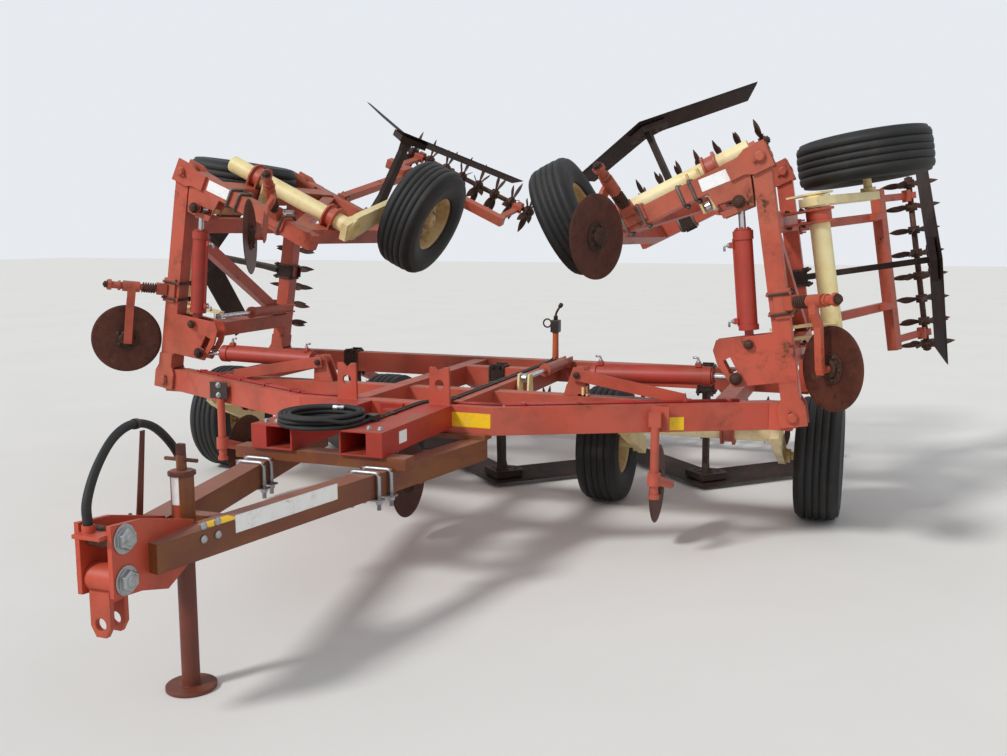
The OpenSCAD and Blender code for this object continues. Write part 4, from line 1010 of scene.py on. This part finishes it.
black = Kit("hydraulic_black", FITTING, "dark_paint")
start_x = COIL_AT[0] + COIL_R + COIL_STEP
black.add(block(0.060, 0.050, 0.036), (start_x, COIL_FITTING + 0.026, 0.0945))
black.add(turned([(0.016, 0), (0.016, 0.012), (0.0125, 0.014)], 6, False),
          (start_x, COIL_FITTING + 0.010, COIL_AT[2] + COIL_HOSE / 2 - PIN_H), (0, -1, 0))
for x, bend in ((-0.012, 0.020), (0.012, 0.0)):
    route = [(start_x + x, COIL_FITTING + 0.05, 0.0825), (start_x + x, -0.735 + bend, 0.0825),
             (LINE_X + x, -0.620 + bend, 0.0825), (LINE_X + x, -0.540, 0.0725), (LINE_X + x, 1.260, 0.0725),
             (VALVE_X + x, 1.360, 0.0840), (VALVE_X + x, 1.375, 0.120)]
    black.add(pipe(rounded(route, 0.05, 5), 0.0065))
for clip in ((start_x, -1.10, 0.0820), *[(LINE_X, y, 0.0720) for y in (-0.45, 0.15, 0.65, 1.15)]):
    black.add(block(0.052, 0.016, 0.016, 0.002), clip)
black.add(washer(HOSE_R + 0.0005, HOSE_R + 0.0035, 0.020),
          (-0.0615, -2.725, 1.0985 - PIN_H), (0.12, -1, 0.06))
black.add(block(0.060, 0.070, 0.090), (VALVE_X, VALVE_Y, VALVE_Z))
black.add(turned([(0.016, 0), (0.016, 0.03), (0.010, 0.034)], 14), (VALVE_X, VALVE_Y, VALVE_Z + 0.044))
black.add(pipe(rounded([(0, 0, 0), (0, 0, 0.04), (0.05, -0.05, 0.105)], 0.02), 0.008),
          (VALVE_X, VALVE_Y, VALVE_Z + 0.05))
black.add(turned([(0.011, 0), (0.016, 0.006), (0.016, 0.03), (0.010, 0.036)], 12),
          (0.330, 1.335, VALVE_Z + 0.145), (0.6, -0.6, 0.7))
ring = np.linspace(0, 2 * np.pi, 25)
black.add(pipe(np.stack([0.030 * np.cos(ring), np.zeros(25), 0.030 * np.sin(ring)], 1), 0.006, 8),
          (0.222, 1.375, VALVE_Z + 0.02))
black.build()

foot = [(0.036, 0), (0.036, 0.012), (0.024, 0.016), (0.022, 0.200), (0.026, 0.204), (0.026, 0.214)]
Kit("valve_post", POST, "red_paint").add(turned(foot), (VALVE_X, VALVE_Y, BEAM_TOP - PIN_H)).build()

can = [(0.024, 0), (0.026, 0.006), (0.026, 0.052), (0.022, 0.060), (0.012, 0.062), (0.012, 0.074)]
Kit("filter_cream", CREAM, "cream_paint").add(
    joined(turned(can, 20), moved(block(0.060, 0.050, 0.016), (0, 0, 0.006))),
    (0.900, -0.020, 0.0525)).build()

LINE_R = 0.0068
LINE_BACK = 0.020

lines = Kit("lines_red", LINE_RED, "red_paint")
for offset in (-0.013, 0.013):
    near, start, middle, stop = [on_sweep(t, LINE_BACK + offset, LINE_R) for t in (0.03, 0.05, 0.705, 1.36)]
    lines.both(pipe([start, middle, stop], LINE_R))
    lines.both(pipe([(0.330 + offset, -CHEVRON, 0.0828), near], LINE_R))
for t in (0.15, 0.45, 0.75, 1.05, 1.30):
    lines.both(block(0.020, 0.056, 0.016, 0.002), on_sweep(t, LINE_BACK, 0.008), (0, 0, 1), SWEEP)
lines.build()

# Centre section: nuts, hanger rings and clamps

BLADE_PITCH = 1.405
MIDDLE_BLADE_Y = DEPTH - 0.430
CENTRE_DROP = 0.770

bolts, rings = Kit("centre_bolts", BAND, "worn_steel"), Kit("centre_rings", CENTRE_RED, "red_paint")
hangers(bolts.both, rings.both, "centre")
for x in (-BLADE_PITCH, 0.0, BLADE_PITCH):
    y_beam, top = (DEPTH, 0.0763) if x else (MIDDLE_BLADE_Y, 0.0663)
    for u in BLADE_CLAMP:
        bolts.add(u_bolt(x + u, y_beam - 0.060, y_beam + 0.060, -top - 0.0163, top + 0.008, down=True))
    tool_bolts(bolts, x, y_beam, CENTRE_DROP)
u, w = BASE_PIN["centre"]
for s, y in ((-1, -0.0705), (1, 0.0625)):
    bolts.both(bolt(0.021, 0.016), (u, y, w), (0, s, 0))
bolts.build()
rings.build()

front_y = -TUBE / 2 - CHEVRON * (SWEEP_TO[0] - BLADE_PITCH) / (SWEEP_TO[0] - SWEEP_FROM[0]) - 0.0602
Kit("coulter_plate", FITTING, "dark_paint").add(
    plate([(-0.066, -0.038), (0.066, -0.038), (0.066, 0.070), (-0.066, 0.070)], 0.006, 0.002),
    (-BLADE_PITCH, front_y, 0), (0, -1, 0), (1, 0, 0)).build()
heads = Kit("coulter_plate_bolts", PLATE, "worn_steel")
for w in (-0.016, 0.048):
    heads.add(bolt(0.014), (-BLADE_PITCH, front_y - 0.006, w), (0, -1, 0))
heads.build()


# Cylinders

def cylinder(name, side, section, base, slant, length):
    """Gland ring, port blocks and elbows on a fold cylinder's barrel, in the cylinder's own line."""
    red = Kit(name + "_gland", CYLINDER_RED, "red_paint", name, section, side)
    ports = Kit(name + "_ports", PLATE, "worn_steel", name, section, side)
    slant = math.radians(slant)
    along = np.array((math.cos(slant), 0, math.sin(slant)))
    up = np.array((-math.sin(slant), 0, math.cos(slant)))
    base = np.array((base[0], 0, base[1]))
    red.add(washer(0.0205, 0.047, 0.010), base + along * (length + 0.0001), along)
    red.add(around(bolt(0.007), 6, 0.034), base + along * (length + 0.010), along)
    elbow = pipe(rounded([(0, 0, 0), (0, 0, 0.022), (-0.03, 0, 0.022)], 0.014), 0.0065)
    for port in (base + along * 0.128, base + along * (length - 0.075)):
        red.add(block(0.034, 0.030, 0.026), port + up * 0.064, up, along)
        ports.add(hexagon(0.013, 0.012), port + up * 0.076, up)
        ports.add(elbow, port + up * 0.084, up, along)
    red.build()
    ports.build()


for side in SIDES:
    for wing, facts in FOLD_CYLINDERS.items():
        cylinder("fold_barrel_%s_%s" % (wing, side), SIDES[side], *facts)


# Floor and light

def floor_material():
    """Pale ground that a camera sees as near white, shadows kept."""
    g = Graph("pale_floor")
    cloud = g.noise(0.8, 4.0)
    g.set(Base=g.mix(cloud, linear("dcdad5"), linear("e6e4df")), Roughness=0.9)
    return g.material


floor = bpy.data.meshes.new("floor")
floor.from_pydata([(-60, -60, -0.002), (60, -60, -0.002), (60, 60, -0.002), (-60, 60, -0.002)], [],
                  [(0, 1, 2, 3)])
floor.materials.append(floor_material())
placed("floor", floor)


def backdrop():
    """Pale grey wherever a camera or a gloss looks past the object; soft sky light elsewhere."""
    g = Graph("sky", bpy.data.worlds.new("sky"))
    sky = g.tree.nodes["Background"]
    g.feed(sky.inputs["Color"], (0.84, 0.87, 0.92))
    g.feed(sky.inputs["Strength"], 0.62)
    seen = g.node("ShaderNodeBackground", None, {"Color": (0.80, 0.83, 0.87), "Strength": 1.0})
    looked_at = g.node("ShaderNodeLightPath", out="Is Camera Ray")
    mirrored = g.node("ShaderNodeLightPath", out="Is Glossy Ray")
    shade = g.node("ShaderNodeMixShader", None,
                   {0: looked_at.math("MAXIMUM", mirrored), 1: Value(g, sky.outputs[0]), 2: seen})
    g.feed(g.tree.nodes["World Output"].inputs["Surface"], shade)
    bpy.context.scene.world = g.material


backdrop()
sun = placed("sun", bpy.data.lights.new("sun", "SUN"))
sun.data.energy = 2.1
sun.data.angle = math.radians(10)
sun.rotation_euler = (math.radians(50), 0, math.radians(-33))

bpy.context.scene.view_settings.view_transform = "Standard"
